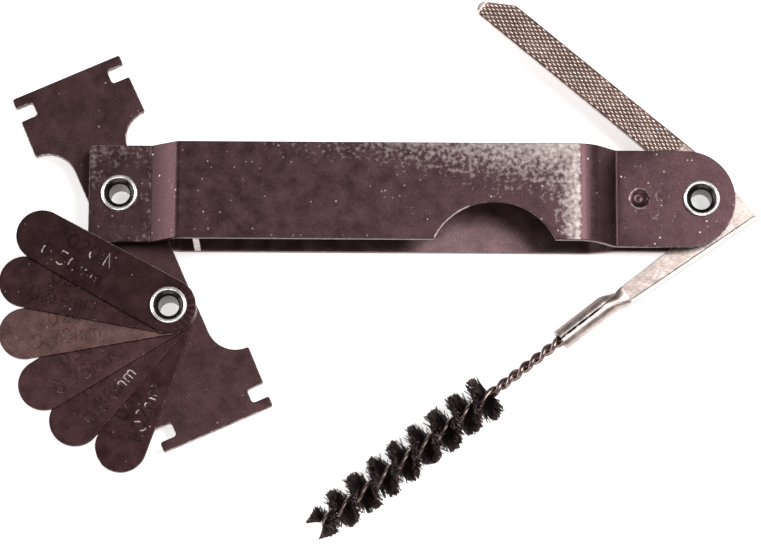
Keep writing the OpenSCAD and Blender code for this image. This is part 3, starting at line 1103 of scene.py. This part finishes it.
@dataclass
class Eyelet:
    """A hollow eyelet rolled over at both ends."""

    node: str
    body: str
    centre: Point
    bore_r: float = 1.6
    barrel_r: float = 1.95
    rim_r: float = 2.9
    bead_r: float = 0.3

    def rim(self, z: float) -> list[tuple[float, float, float]]:
        """Profile of the upper rim as (radius, z, wear), from the throat, painted dark as shade, to the
        seat at z.

        Args:
            z: Height of the plate that the rim sits on.

        Returns:
            The profile.
        """
        throat = [(self.bore_r, z - 0.9, -0.7), (self.bore_r + 0.03, z - 0.5, -0.8)]
        throat += [(self.bore_r + 0.12, z - 0.15, -0.9), (self.barrel_r - 0.02, z + 0.03, -0.95)]
        throat.append((self.rim_r - 2 * self.bead_r - 0.05, z + 0.2, -0.9))
        middle = self.rim_r - self.bead_r
        bead = [
            (middle + self.bead_r * math.cos(a), z + self.bead_r * (1 + math.sin(a)), 0.95)
            for a in [math.radians(185 - 22.5 * k) for k in range(11)]
        ]
        return throat + bead + [(middle + 0.12, z, 0.3)]

    def build(self) -> bpy.types.Object:
        """The eyelet, standing for its CAD node.

        Returns:
            The finished piece.
        """
        low, high = levels(self.node)
        z0, z1 = low + 2 * self.bead_r, high - 2 * self.bead_r
        upper = self.rim(z1)
        lower = [(r, z0 + z1 - z, wear_and_light) for r, z, wear_and_light in reversed(upper)]
        profile = upper + [(self.barrel_r, z1, 0.0), (self.barrel_r, z0, 0.0)] + lower
        made = as_object(f"{self.node}_rolled", lathe(profile, self.centre), Finish.EYELET.material(), 50)
        return settle(made, self.body, [self.node])


@dataclass
class GapPlate:
    """The bow-tie plate with a slotted bending tab at each corner."""

    layout: Layout
    thickness: float = 1.3
    edge_r: float = 0.15
    pivot_end_l: float = 21.8
    leaf_end_l: float = 20.2
    end_w: float = 18.5
    shoulder_w: float = 19.0
    waist_w: float = 9.2
    hollow_r: float = 4.6
    hollow_back: float = 14.8
    hole_offset: float = 0.35
    tab_t: float = 1.65
    slot_w: float = 2.3
    slot_depth: float = 2.8
    slot_corner_r: float = 0.5
    corner_r: float = 0.35

    def quarter(self, end_l: float) -> Loop:
        """Outline of the upper half of one end, from the waist round to the end's middle, at -X.

        Args:
            end_l: Distance from the hole to the plate's end.

        Returns:
            The outline.
        """
        half = self.end_w / 2
        hollow = end_l - self.hollow_back
        slope = (self.end_w - self.shoulder_w) / 2 / self.hollow_back
        rise = self.shoulder_w / 2

        def edge(x: float) -> float:
            """Half width at x, outside the hollow."""
            return rise + slope * (-hollow - x)

        r, q = self.corner_r, self.slot_corner_r
        inner = -end_l + self.tab_t
        outer = inner + self.slot_w
        side = -hollow - self.hollow_r
        loop = arc((-hollow, self.waist_w / 2 + self.hollow_r), self.hollow_r, -90, -180, 20)
        loop = [p for p in loop if p[1] <= edge(side) - 0.3]
        loop += [(side + 0.02, edge(side) - 0.25), (side - 0.25, edge(side - 0.25))]
        loop += [(outer + 0.2, edge(outer)), (outer, edge(outer) - 0.2)]
        floor = half - self.slot_depth
        loop += arc((outer - q, floor + q), q, 0, -90, 6)
        loop += arc((inner + q, floor + q), q, -90, -180, 6)
        loop += [(inner, half - r)]
        loop += arc((inner - r, half - r), r, 0, 90, 5)[1:]
        loop += arc((-end_l + r, half - r), r, 90, 180, 5)
        return loop

    def outline(self) -> Loop:
        """The whole counter-clockwise outline, in the frame of the hole at the case.

        Returns:
            The outline.
        """
        spacing = math.dist(self.layout.heel, self.layout.leaf_pivot)
        near = self.quarter(self.pivot_end_l)
        far = [(spacing - x, y) for x, y in self.quarter(self.leaf_end_l)]
        loop = near + [(x, -y) for x, y in reversed(near)]
        loop += [(x, -y) for x, y in far]
        loop += list(reversed(far))
        return [(x, y - self.hole_offset) for x, y in loop]

    def build(self) -> bpy.types.Object:
        """The plate, standing for its CAD node.

        Returns:
            The finished piece.
        """
        heel, leaf = self.layout.heel, self.layout.leaf_pivot
        angle = math.degrees(math.atan2(leaf[1] - heel[1], leaf[0] - heel[0]))
        z = levels("gap_plate")[0]
        sheet = Sheet(
            turned(self.outline(), angle, heel),
            self.thickness,
            self.edge_r,
            holes=[round_hole(heel, self.layout.turning_r), round_hole(leaf, self.layout.barrel_r)],
        )
        bm = sheet.mesh(lambda x, y, h: Vector((x, y, z + h)), None, 0.5)
        made = as_object("gap_plate_punched", bm, Finish.GAUGE.material())
        weigh_normals(made)
        return settle(made, "gauge", ["gap_plate"])


@dataclass
class StrokeFont:
    """Plain figures drawn as single strokes, for size marks.

    Attributes:
        height: Height of a figure.
        stroke_r: Radius of the mark's groove.
    """

    height: float = 2.2
    stroke_r: float = 0.17

    def shapes(self) -> dict[str, tuple[float, list[Loop]]]:
        """Width and strokes of each character, in units of the height.

        Returns:
            The width and the open strokes by character.
        """
        oval = [(0.3 + 0.3 * math.cos(a), 0.5 + 0.5 * math.sin(a)) for a in self.turn(0, 360, 20)]
        low = [(0.3 + 0.3 * math.cos(a), 0.27 + 0.27 * math.sin(a)) for a in self.turn(0, 360, 16)]
        high = [(0.3 + 0.25 * math.cos(a), 0.77 + 0.23 * math.sin(a)) for a in self.turn(0, 360, 14)]
        two = [(0.3 + 0.28 * math.cos(a), 0.72 + 0.28 * math.sin(a)) for a in self.turn(170, -30, 9)]
        three_top = [(0.28 + 0.27 * math.cos(a), 0.76 + 0.24 * math.sin(a)) for a in self.turn(150, -80, 9)]
        three_low = [(0.28 + 0.3 * math.cos(a), 0.26 + 0.26 * math.sin(a)) for a in self.turn(80, -150, 10)]
        five = [(0.26 + 0.32 * math.cos(a), 0.31 + 0.31 * math.sin(a)) for a in self.turn(125, -145, 11)]
        six = [(0.56, 0.93), (0.3, 0.97), (0.1, 0.75), (0.01, 0.4)]
        em = [(0.0, 0.0), (0.0, 0.62)]
        hump = [(0.18 + 0.18 * math.cos(a), 0.42 + 0.2 * math.sin(a)) for a in self.turn(180, 0, 6)]
        wide = [(x + 0.36, y) for x, y in hump]
        return {
            "0": (0.6, [oval]),
            "1": (0.3, [[(0.0, 0.78), (0.2, 1.0), (0.2, 0.0)]]),
            "2": (0.6, [two + [(0.0, 0.0), (0.6, 0.0)]]),
            "3": (0.58, [three_top, three_low]),
            "4": (0.6, [[(0.45, 0.0), (0.45, 1.0), (0.0, 0.32), (0.62, 0.32)]]),
            "5": (0.6, [[(0.54, 1.0), (0.08, 1.0), (0.05, 0.57)] + five]),
            "6": (0.6, [six, low]),
            "7": (0.58, [[(0.0, 1.0), (0.58, 1.0), (0.22, 0.0)]]),
            "8": (0.6, [low, high]),
            ".": (0.12, [[(0.05, 0.02), (0.09, 0.06)]]),
            "I": (0.1, [[(0.05, 0.0), (0.05, 1.0)]]),
            "N": (0.56, [[(0.0, 0.0), (0.0, 1.0), (0.54, 0.0), (0.54, 1.0)]]),
            "m": (0.74, [em, hump + [(0.36, 0.0)], wide + [(0.72, 0.0)]]),
        }

    @staticmethod
    def turn(start: float, end: float, steps: int) -> list[float]:
        """Angles in radians from start to end, both in degrees."""
        return [math.radians(start + (end - start) * k / steps) for k in range(steps + 1)]

    def strokes(self, text: str) -> list[Loop]:
        """The strokes of a line of text from (0, 0), in millimetres.

        Args:
            text: The line of text.

        Returns:
            One open loop per stroke.
        """
        shapes = self.shapes()
        found = []
        x = 0.0
        for letter in text:
            width, lines = shapes[letter]
            for line in lines:
                found.append([((x + px) * self.height, py * self.height) for px, py in line])
            x += width + 0.27
        return found


@dataclass
class FeelerLeaf:
    """One leaf, a tapered strip with its size marked in two rows.

    Attributes:
        node: Its CAD node.
        body: The body that it moves with.
        pivot: Place of the leaf pivot.
        index: Its place in the pack, from the top.
        inches: Size mark in inches.
        millimetres: Size mark in millimetres.
    """

    node: str
    body: str
    pivot: Point
    index: int
    inches: str
    millimetres: str
    tip_w: float = 8.1
    root_w: float = 8.6
    reach: float = 22.9
    edge_r: float = 0.09
    hole_r: float = 2.0
    font: StrokeFont = field(default_factory=StrokeFont)

    def direction(self) -> float:
        """Direction of the leaf in degrees, from the far corners of its CAD box.

        Returns:
            The direction, counter-clockwise from +X.
        """
        low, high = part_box(self.node)
        tip_r = self.tip_w / 2
        pivot = self.pivot
        dx = low.x / MM + tip_r - pivot[0]
        sine = max(-1.0, min(1.0, dx / self.reach))
        above = high.y / MM - pivot[1] > self.root_w / 2 + 0.05
        turn = math.degrees(math.acos(sine))
        return turn if above else 360 - turn

    def outline(self) -> Loop:
        """Counter-clockwise outline with the pivot at (0, 0), the tip towards +X.

        Returns:
            The outline.
        """
        fall = math.degrees(math.asin((self.root_w - self.tip_w) / 2 / self.reach))
        loop = arc((0, 0), self.root_w / 2, 90 - fall, 270 + fall, 36)
        return loop + arc((self.reach, 0), self.tip_w / 2, -90 + fall, 90 - fall, 36)

    def marks(self, top: float, angle: float) -> bmesh.types.BMesh:
        """Grooves of the size marks, which read from the tip towards the pivot.

        Args:
            top: Height of the leaf's upper face.
            angle: Direction of the leaf in degrees.

        Returns:
            The closed shapes that cut the grooves.
        """
        bm = new_mesh()
        rows = ((self.inches, 19.6, 0.5), (self.millimetres, 21.7, -2.7))
        for text, start, base in rows:
            for line in self.font.strokes(text):
                flat = [(start - x, -(base + y)) for x, y in line]
                path = [Vector((x, y, top + 0.03)) for x, y in turned(flat, angle, self.pivot)]
                count = len(path)
                tube(bm, path, [self.font.stroke_r] * count, 6, [1.0] * count)
        return bm

    def build(self) -> bpy.types.Object:
        """The leaf, standing for its CAD node.

        Returns:
            The finished piece.
        """
        low, high = levels(self.node)
        angle = self.direction()
        tone, shade = LEAF_TONES[self.index]
        finish = SteelFinish(
            f"blacked_leaf_steel_{self.index + 1}", tone, shade, "#efe5df", roughness=0.4, fleck_share=0.2
        )
        sheet = Sheet(
            turned(self.outline(), angle, self.pivot),
            high - low,
            self.edge_r,
            holes=[round_hole(self.pivot, self.hole_r)],
        )

        def rim(x: float, y: float) -> float:
            """Value of the bare cut edge, with a painted highlight on the side that faces +X, strongest on
            the outer leaves.

            Args:
                x: Place along the case.
                y: Place across it.

            Returns:
                The wear value.
            """
            away = Vector((x - self.pivot[0], y - self.pivot[1]))
            side = Vector((math.sin(math.radians(angle)), -math.cos(math.radians(angle))))
            outer = 1.0 if self.index in (0, 5) else 0.3
            return outer if away.dot(side) > self.tip_w / 4 else 0.2

        bm = sheet.mesh(lambda x, y, h: Vector((x, y, low + h)), None, rim)
        made = as_object(f"{self.node}_marked", bm, finish.material())
        carve(made, self.marks(high, angle))
        weigh_normals(made)
        return settle(made, self.body, [self.node])


@dataclass
class PointFile:
    """The point file, cross cut on both faces.

    Attributes:
        layout: Shared places.
        open_angle: How far it is swung out of the case at rest, in degrees.
    """

    layout: Layout
    open_angle: float = 40.1
    thickness: float = 0.8
    offset: float = 0.6
    width: float = 5.0
    length: float = 47.5
    clip: float = 42.9
    tip_r: float = 1.3
    eye_r: float = 4.2
    tooth_pitch: float = 0.62
    tooth_depth: float = 0.13
    grid: float = 0.105

    def outline(self) -> Loop:
        """Counter-clockwise outline of the folded file about its pivot.

        Returns:
            The outline.
        """
        top, low = self.offset + self.width, self.offset
        tip = (-self.length + self.tip_r, low + self.tip_r)
        run = math.dist((-self.clip, top), tip)
        start = math.degrees(math.atan2(top - tip[1], -self.clip - tip[0]) + math.acos(self.tip_r / run))
        loop = [(-self.clip + 0.3, top), (-self.clip, top - 0.05)]
        loop += arc(tip, self.tip_r, start, 270, 14)
        out = math.degrees(math.acos(low / self.eye_r))
        loop += arc((0, 0), self.eye_r, 90 + out, 360, 40)
        back = top / 2
        loop += arc((0, back), back, 0, 90, 12)
        return self.without_repeats(loop)

    @staticmethod
    def without_repeats(loop: Loop) -> Loop:
        """The loop without points that lie on each other."""
        return [p for i, p in enumerate(loop) if math.dist(p, loop[i - 1]) > 1e-3]

    def crest(self, x: float, y: float) -> float:
        """Height of the cross-cut teeth at a point, from 0 in a cut to 1 on a crest.

        Args:
            x: Place along the folded file.
            y: Place across it.

        Returns:
            The height.
        """
        fade = smooth((-x - 7.5) / 1.5) * smooth((self.length - 0.6 + x) / 0.5)
        rows = []
        for degrees in (62, -52):
            a = math.radians(degrees)
            phase = (x * math.cos(a) + y * math.sin(a)) / self.tooth_pitch
            rows.append(1 - abs(2 * (phase % 1.0) - 1))
        return 1 - fade * (1 - min(1.0, 1.5 * min(rows)))

    def build(self) -> bpy.types.Object:
        """The file, standing for its CAD node.

        Returns:
            The finished piece.
        """
        low, _ = levels("point_file")
        nose = self.layout.nose
        rim = 0.12
        dots = []
        columns = int((self.length - 7) / self.grid)
        rows = int((self.width - 2 * rim) / self.grid)
        blank = inset(self.outline(), rim + 0.03)
        for i in range(columns):
            for j in range(1, rows):
                p = (-7 - i * self.grid, self.offset + rim + (j + 0.5 * (i % 2)) * self.grid)
                if -p[0] < self.clip - 2 or inside(p, blank):
                    dots.append(p)
        hole = round_hole((0, 0), self.layout.turning_r)
        sheet = Sheet(self.outline(), self.thickness, rim, holes=[hole], dots=dots)
        swing = Matrix.Rotation(math.radians(-self.open_angle), 3, "Z")

        def place(x: float, y: float, height: float) -> Vector:
            """Place of a point of the blank, sunk where the teeth are cut.

            Args:
                x: Place along the folded file.
                y: Place across it.
                height: Height above the bottom face.

            Returns:
                The place on the open file.
            """
            cut = self.tooth_depth * (1 - self.crest(x, y))
            edge = min(height, self.thickness - height)
            if edge < 1e-6:
                height = self.thickness - cut if height > self.thickness / 2 else cut
            turned_point = swing @ Vector((x, y, 0))
            return Vector((nose[0] + turned_point.x, nose[1] + turned_point.y, low + height))

        def wear_and_light(x: float, y: float) -> float:
            """Crests painted bright as glints and cuts painted dark as shade."""
            return 0.8 * self.crest(x, y) ** 2 - 0.25 if x < -7.5 else 0.2

        made = as_object("point_file_cut", sheet.mesh(place, wear_and_light, 0.6), Finish.FILE.material(), 60)
        return settle(made, "file", ["point_file"])


@dataclass
class Brush:
    """The twisted-wire brush in its sheet holder.

    Attributes:
        layout: Shared places.
        open_angle: How far it is swung out of the case at rest, in degrees.
    """

    layout: Layout
    open_angle: float = 38.2
    sheet_t: float = 0.65
    flange_offset: float = 7.5
    flange_taper: float = 3.4
    heel: float = 5.6
    heel_shoulder: float = 1.6
    web_inner: float = 2.9
    eye_r: float = 4.4
    ferrule_start: float = 22.4
    ferrule_l: float = 9.2
    ferrule_r: float = 1.75
    bend_in: float = 0.35
    axis_y: float = -4.1
    axis_z: float = 5.3
    wire_r: float = 0.44
    wire_orbit: float = 0.45
    wire_grip: float = 7.5
    bristle_start: float = 45.4
    bristle_l: float = 35.4
    bristle_tip_l: float = 4.6
    bristle_r: tuple[float, float, float] = (4.2, 3.65, 2.0)
    tip_overhang: float = 1.9
    stem_pitch: float = 4.4
    bristle_pitch: float = 8.0
    bristle_count: int = 2100
    bristle_wire_r: float = 0.075
    bristle_seed: int = 41
    tuft_count: int = 90
    tuft_reach: Point = (0.86, 1.0)
    cut_reach: Point = (0.84, 0.985)
    fan: float = 0.13
    split: float = 0.1
    lean: float = 0.34
    stray: float = 0.22
    bow: float = 0.12

    def world(self, x: float, y: float, z: float) -> Vector:
        """Turns a place on the folded brush about its pivot to where it is at rest."""
        spun = Matrix.Rotation(math.radians(self.open_angle), 3, "Z") @ Vector((x, y, 0))
        return Vector((self.layout.nose[0] + spun.x, self.layout.nose[1] + spun.y, z))

    # -- holder

    def to_flange(self, x: float, y: float) -> Point:
        """(along the flange, in from its outer face) of a place on the folded brush.

        Args:
            x: Place along the folded brush.
            y: Place across it.

        Returns:
            The flange place.
        """
        a = math.radians(self.flange_taper)
        rise = y + self.flange_offset / math.cos(a)
        return (x * math.cos(a) - rise * math.sin(a), x * math.sin(a) + rise * math.cos(a))

    def from_flange(self, u: float, w: float) -> Point:
        """The reverse of to_flange.

        Args:
            u: Place along the flange.
            w: Place in from its outer face.

        Returns:
            The place on the folded brush.
        """
        a = math.radians(self.flange_taper)
        x = u * math.cos(a) + w * math.sin(a)
        return (x, -u * math.sin(a) + w * math.cos(a) - self.flange_offset / math.cos(a))

    def folded(self, u: float, w: float, height: float) -> tuple[float, float, float]:
        """Place on the folded brush of a point of the holder's blank, its flange bent up.

        Args:
            u: Place along the flange.
            w: Place across the blank.
            height: Height above the bottom face.

        Returns:
            x, y and z on the folded brush.
        """
        base, top = levels("brush_holder")
        outer = self.bend_in + self.sheet_t
        middle = outer - self.sheet_t / 2
        run = outer - w
        quarter = middle * math.pi / 2
        rho = outer - height
        if run <= 0:
            x, y = self.from_flange(u, w)
            return (x, y, base + height)
        turn = min(run, quarter) / middle
        x, y = self.from_flange(u, outer - rho * math.sin(turn))
        return (x, y, base + outer - rho * math.cos(turn) + max(0.0, run - quarter))

    def flange_run(self) -> float:
        """Width of the blank beyond the start of the flange's bend.

        Returns:
            The width.
        """
        outer = self.bend_in + self.sheet_t
        place = self.layout
        top = levels("tool_pivot_eyelet")[1] - place.bead_d - place.case_sheet - place.play
        base = levels("brush_holder")[0]
        return (outer - self.sheet_t / 2) * math.pi / 2 + top - base - outer

    def web_blank(self) -> Loop:
        """Counter-clockwise outline of the web and the flattened flange, in flange places.

        Returns:
            The outline.
        """
        outer = self.bend_in + self.sheet_t
        rim_w = outer - self.flange_run()
        end = self.ferrule_start - 2 * self.ferrule_r
        shoulder = (self.heel, -self.heel_shoulder)
        reach = math.hypot(*shoulder)
        tangent = math.degrees(math.atan2(shoulder[1], shoulder[0]) + math.acos(self.eye_r / reach))
        sink = math.degrees(math.asin(self.web_inner / self.eye_r))
        plan = arc((0, 0), self.eye_r, tangent, 180 + sink, 40)
        plan.append((-end, -self.web_inner))
        inner = [self.to_flange(*p) for p in [shoulder, *plan]]
        heel_u = self.to_flange(self.heel, -self.flange_offset)[0]
        return [(inner[-1][0], rim_w), (heel_u, rim_w), (heel_u, outer)] + inner

    def section(self, share: float, s: float) -> list[Vector]:
        """Middle line across the spoon between the web and the ferrule.

        Args:
            share: 0 where the sheet is still web and flange, 1 where it is rolled up.
            s: Distance from the pivot.

        Returns:
            Points from the inner edge round to the flange's top, on the folded brush.
        """
        count = 28
        outer = self.bend_in + self.sheet_t
        w_in = self.to_flange(-s, -self.web_inner)[1]
        w_out = outer - self.flange_run()
        radius = self.ferrule_r - self.sheet_t / 2
        found = []
        for k in range(count + 1):
            t = k / count
            u = self.to_flange(-s, -self.web_inner)[0]
            x, y, z = self.folded(u, w_in + (w_out - w_in) * t, self.sheet_t / 2)
            a = math.radians(84 - 348 * t)
            rolled = Vector((-s, self.axis_y + radius * math.cos(a), self.axis_z + radius * math.sin(a)))
            found.append(Vector((-s, y, z)).lerp(rolled, share))
        return found

    def spoon(self, bm: bmesh.types.BMesh) -> None:
        """Adds the spoon and the ferrule, one sheet that rolls up into a tube.

        Args:
            bm: The mesh that takes them, which has a "wear" layer.
        """
        layer = bm.verts.layers.float[WEAR_AND_LIGHT]
        start = self.ferrule_start - 2 * self.ferrule_r - 0.6
        rolled = self.ferrule_start + 0.6
        end = self.ferrule_start + self.ferrule_l
        places = [start + (rolled - start) * k / 16 for k in range(17)]
        places += [rolled + (end - rolled) * k / 8 for k in range(1, 9)]
        half = self.sheet_t / 2
        rings = []
        for s in places:
            line = self.section(smooth((s - start) / (rolled - start)), s)
            outer, inner = [], []
            for k, point in enumerate(line):
                ahead = line[min(k + 1, len(line) - 1)] - line[max(k - 1, 0)]
                normal = Vector((0, -ahead.z, ahead.y)).normalized()
                at_edge = k in (0, len(line) - 1)
                squeeze = half * (0.75 if at_edge else 1.0)
                for ring, side in ((outer, -squeeze), (inner, squeeze)):
                    v = bm.verts.new(self.world(*(point - normal * side)))
                    v[layer] = 0.9 if at_edge else 0.1
                    ring.append(v)
            rings.append(outer + inner[::-1])
        count = len(rings[0])
        for a, b in zip(rings, rings[1:]):
            for k in range(count):
                n = (k + 1) % count
                bm.faces.new([a[k], a[n], b[n], b[k]])
        for ring in (rings[0], rings[-1]):
            for k in range(count // 2 - 1):
                bm.faces.new([ring[k], ring[k + 1], ring[-2 - k], ring[-1 - k]])

    def holder(self) -> bpy.types.Object:
        """The sheet holder, standing for its CAD node.

        Returns:
            The finished piece.
        """
        outer = self.bend_in + self.sheet_t
        quarter = (outer - self.sheet_t / 2) * math.pi / 2
        far = 60.0
        bends = [outer - quarter * k / 8 for k in range(9)]
        sheet = Sheet(
            self.web_blank(),
            self.sheet_t,
            0.12,
            holes=[[self.to_flange(*p) for p in round_hole((0, 0), self.layout.turning_r)]],
            creases=[((-far, w), (far, w)) for w in bends],
        )
        top_w = outer - self.flange_run()

        def wear_and_light(u: float, w: float) -> float:
            """The bend's crest gets a painted highlight."""
            return 0.35 * math.exp(-(((w - outer) / 0.4) ** 2))

        bm = sheet.mesh(lambda u, w, h: self.world(*self.folded(u, max(w, top_w), h)), wear_and_light, 0.95)
        self.spoon(bm)
        bmesh.ops.recalc_face_normals(bm, faces=bm.faces)
        made = as_object("brush_holder_formed", bm, Finish.HOLDER.material(), 45)
        weigh_normals(made)
        return settle(made, "brush", ["brush_holder"])

    # -- wires and bristles

    def turns_at(self, s: float) -> float:
        """Turns of the twist between the start of the wires and a distance from the pivot.

        Args:
            s: The distance from the pivot.

        Returns:
            The turns.
        """
        start = self.ferrule_start + self.ferrule_l - self.wire_grip
        bare = (min(s, self.bristle_start) - start) / self.stem_pitch
        return bare + max(0.0, s - self.bristle_start) / self.bristle_pitch

    def on_axis(self, s: float, radius: float, angle: float) -> Vector:
        """Place at a distance along the brush's axis, out from it at an angle in radians."""
        across, up = radius * math.sin(angle), radius * math.cos(angle)
        return self.world(-s, self.axis_y + across, self.axis_z + up)

    def wire(self, name: str, phase: float) -> bpy.types.Object:
        """One of the two stem wires, standing for its CAD node.

        Args:
            name: Its CAD node.
            phase: Where on the axis it starts, in radians.

        Returns:
            The finished piece.
        """
        start = self.ferrule_start + self.ferrule_l - self.wire_grip
        end = self.bristle_start + self.bristle_l - self.tip_overhang
        count = 360
        places = [start + (end - start) * k / count for k in range(count + 1)]
        path = [self.on_axis(s, self.wire_orbit, phase - math.tau * self.turns_at(s)) for s in places]
        radii = [self.wire_r] * len(path)
        radii[0] = radii[-1] = self.wire_r * 0.8
        bm = new_mesh()
        tube(bm, path, radii, 14, [0.25] * len(path))
        made = as_object(f"{name}_drawn", bm, Finish.STEM.material(), 70)
        return settle(made, "brush", [name])

    def bristle_reach(self, s: float) -> float:
        """How far the bristles reach from the axis.

        Args:
            s: Distance from the pivot.

        Returns:
            The reach.
        """
        first, middle, last = self.bristle_r
        body = self.bristle_l - self.bristle_tip_l
        run = s - self.bristle_start
        if run < body:
            return first + (middle - first) * run / body
        return middle + (last - middle) * min(1.0, (run - body) / self.bristle_tip_l)

    def bristles(self) -> bpy.types.Object:
        """All bristles, wires that the twist holds by their middles.

        Returns:
            The finished piece, standing for its CAD node.
        """
        chance = random.Random(self.bristle_seed)
        bm = new_mesh()
        clump = [chance.uniform(*self.tuft_reach) for _ in range(self.tuft_count)]
        end = self.bristle_start + self.bristle_l
        for i in range(self.bristle_count):
            share = (i + chance.random()) / self.bristle_count
            s = self.bristle_start + 0.3 + (self.bristle_l - 0.75) * share
            seat = min(s, end - self.tip_overhang)
            fin = math.pi / 2 - math.tau * self.turns_at(seat) + chance.gauss(0, self.fan)
            lean = chance.gauss(0, self.lean)
            for side in (0.0, math.pi):
                angle = fin + side + chance.gauss(0, self.split)
                tuft = clump[int((self.turns_at(s) * 9 + side * 7) % self.tuft_count)]
                slant = lean + chance.gauss(0, self.stray)
                tip_s = max(min(s + slant, end - 0.1), self.bristle_start + 0.1)
                reach = self.bristle_reach(tip_s) * tuft * chance.uniform(*self.cut_reach)
                bow = chance.gauss(0, self.bow)
                path, wear_and_light = [], []
                for k in range(5):
                    t = k / 4
                    swing = angle + bow * t * t
                    along = seat + (tip_s - seat) * t**1.4
                    path.append(self.on_axis(along, 0.25 + (reach - 0.25) * t, swing))
                    wear_and_light.append(0.12 + 0.6 * t**3)
                tube(bm, path, [self.bristle_wire_r] * 5, 4, wear_and_light)
        made = as_object("brush_bristles", bm, Finish.BRISTLE.material(), 80)
        return settle(made, "brush", ["bristles"])


@dataclass
class Studio:
    """Floor, lights and camera.

    Attributes:
        target: Point in millimetres that the camera looks at.
        elevation: Height of the camera above the horizon, in degrees.
        roll: Turn of the camera about its own axis, in degrees.
        distance: Distance from the target in millimetres.
        lens: Focal length in millimetres.
        floor_glow: Light that the floor gives off by itself.
        floor_half: Half width of the floor in metres.
        room_light: Strength of the light from all round.
        lamp_distance: Distance of the softboxes in metres.
    """

    target: tuple[float, float, float] = (-4.7, -11.05, 0.0)
    elevation: float = 77.5
    roll: float = 0.34
    distance: float = 604.7
    lens: float = 180.2
    floor_glow: float = 0.55
    floor_half: float = 1.6
    room_light: float = 0.3
    lamp_distance: float = 0.9

    def floor(self) -> None:
        """Lays a plain pale table top with a matt finish."""
        made = bpy.data.materials.new("pale_floor")
        graph = Graph.of(made)
        paper = graph.add(
            "BsdfPrincipled",
            {
                "Base Color": linear("#fbfafa"),
                "Roughness": 0.9,
                "Emission Color": linear("#ffffff"),
                "Emission Strength": self.floor_glow,
            },
        )
        graph.add("OutputMaterial", {"Surface": paper.outputs[0]})
        bm = bmesh.new()
        bmesh.ops.create_grid(bm, x_segments=8, y_segments=8, size=self.floor_half)
        bm.transform(Matrix.Translation((0, 0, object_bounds()[0].z)))
        mesh = bpy.data.meshes.new("floor")
        bm.to_mesh(mesh)
        bm.free()
        mesh.materials.append(made)
        plane = bpy.data.objects.new("floor", mesh)
        bpy.context.scene.collection.objects.link(plane)
        plane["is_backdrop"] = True

    def softbox(
        self, name: str, azimuth: float, elevation: float, size: Point, watts: float
    ) -> None:
        """Adds a soft light that faces the object.

        Args:
            name: Name of the light.
            azimuth: Direction from the object, in degrees from +X.
            elevation: Height above the horizon, in degrees.
            size: Width and height in metres.
            watts: Power.
        """
        data = bpy.data.lights.new(name, "AREA")
        data.shape = "RECTANGLE"
        data.size, data.size_y = size
        data.energy = watts
        lamp = bpy.data.objects.new(name, data)
        a, e = math.radians(azimuth), math.radians(elevation)
        towards = Vector((math.cos(a) * math.cos(e), math.sin(a) * math.cos(e), math.sin(e)))
        lamp.location = towards * self.lamp_distance
        lamp.rotation_mode = "QUATERNION"
        lamp.rotation_quaternion = towards.to_track_quat("Z", "Y")
        bpy.context.scene.collection.objects.link(lamp)

    def light(self) -> None:
        """A dim room, a key light from the upper right and a low fill from the left."""
        world = bpy.data.worlds.new("studio")
        world.use_nodes = True
        background = world.node_tree.nodes["Background"]
        background.inputs["Color"].default_value = linear("#f2ecea")
        background.inputs["Strength"].default_value = self.room_light
        bpy.context.scene.world = world
        self.softbox("key", 12, 60, (0.3, 0.5), 7)
        self.softbox("fill", 175, 20, (0.8, 0.4), 4.5)
        self.softbox("front", 265, 30, (0.9, 0.3), 3)

    def camera(self) -> None:
        """The camera, level with X and tilted towards the front edge of the case."""
        data = bpy.data.cameras.new("camera")
        data.lens = self.lens
        data.sensor_width = 36.0
        data.clip_start, data.clip_end = 0.01, 10.0
        made = bpy.data.objects.new("camera", data)
        e = math.radians(self.elevation)
        back = Vector((0, -math.cos(e), math.sin(e)))
        made.location = (Vector(self.target) + back * self.distance) * MM
        made.rotation_mode = "QUATERNION"
        turn = Matrix.Rotation(math.radians(self.roll), 3, "Z").to_quaternion()
        made.rotation_quaternion = (-back).to_track_quat("-Z", "Y") @ turn
        bpy.context.scene.collection.objects.link(made)
        bpy.context.scene.camera = made


def dress_hidden_washers(frame: dict) -> None:
    """Gives the washers, the collar, the spring and the spacer their own steel.
    """
    inner = ("friction_washer", "gauge_collar", "disc_spring", "tool_spacer", "leaf_pack_washer")
    for name in inner:
        materials = frame["nodes"][name].data.materials
        materials.clear()
        materials.append(Finish.WASHER.material())
        LOG.info("%s keeps its CAD shape", name)


def main() -> None:
    """Builds every piece in order."""
    logging.basicConfig(level=logging.INFO, format="%(message)s")
    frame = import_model()
    bpy.context.scene.view_settings.view_transform = "Standard"
    layout = Layout.from_frame(frame)

    case = Case(layout)
    case.front()
    case.back()
    Eyelet("gauge_pivot_eyelet", "case", layout.heel).build()
    Eyelet("tool_pivot_eyelet", "case", layout.nose).build()
    Eyelet("leaf_pivot_eyelet", "gauge", layout.leaf_pivot).build()
    GapPlate(layout).build()
    sizes = (
        ("leaf_0_50mm", ".020IN", "0.50mm"),
        ("leaf_0_62mm", ".025IN", "0.62mm"),
        ("leaf_0_70mm", ".028IN", "0.70mm"),
        ("leaf_0_75mm", ".030IN", "0.75mm"),
        ("leaf_0_88mm", ".035IN", "0.88mm"),
        ("leaf_1_02mm", ".040IN", "1.02mm"),
    )
    for index, (node, inches, millimetres) in enumerate(sizes):
        FeelerLeaf(node, f"leaf_{index + 1}", layout.leaf_pivot, index, inches, millimetres).build()
    PointFile(layout).build()
    brush = Brush(layout)
    brush.holder()
    brush.wire("stem_wire_a", 0.0)
    brush.wire("stem_wire_b", math.pi)
    brush.bristles()
    dress_hidden_washers(frame)

    studio = Studio()
    studio.floor()
    studio.light()
    studio.camera()


if __name__ == "__main__":
    main()
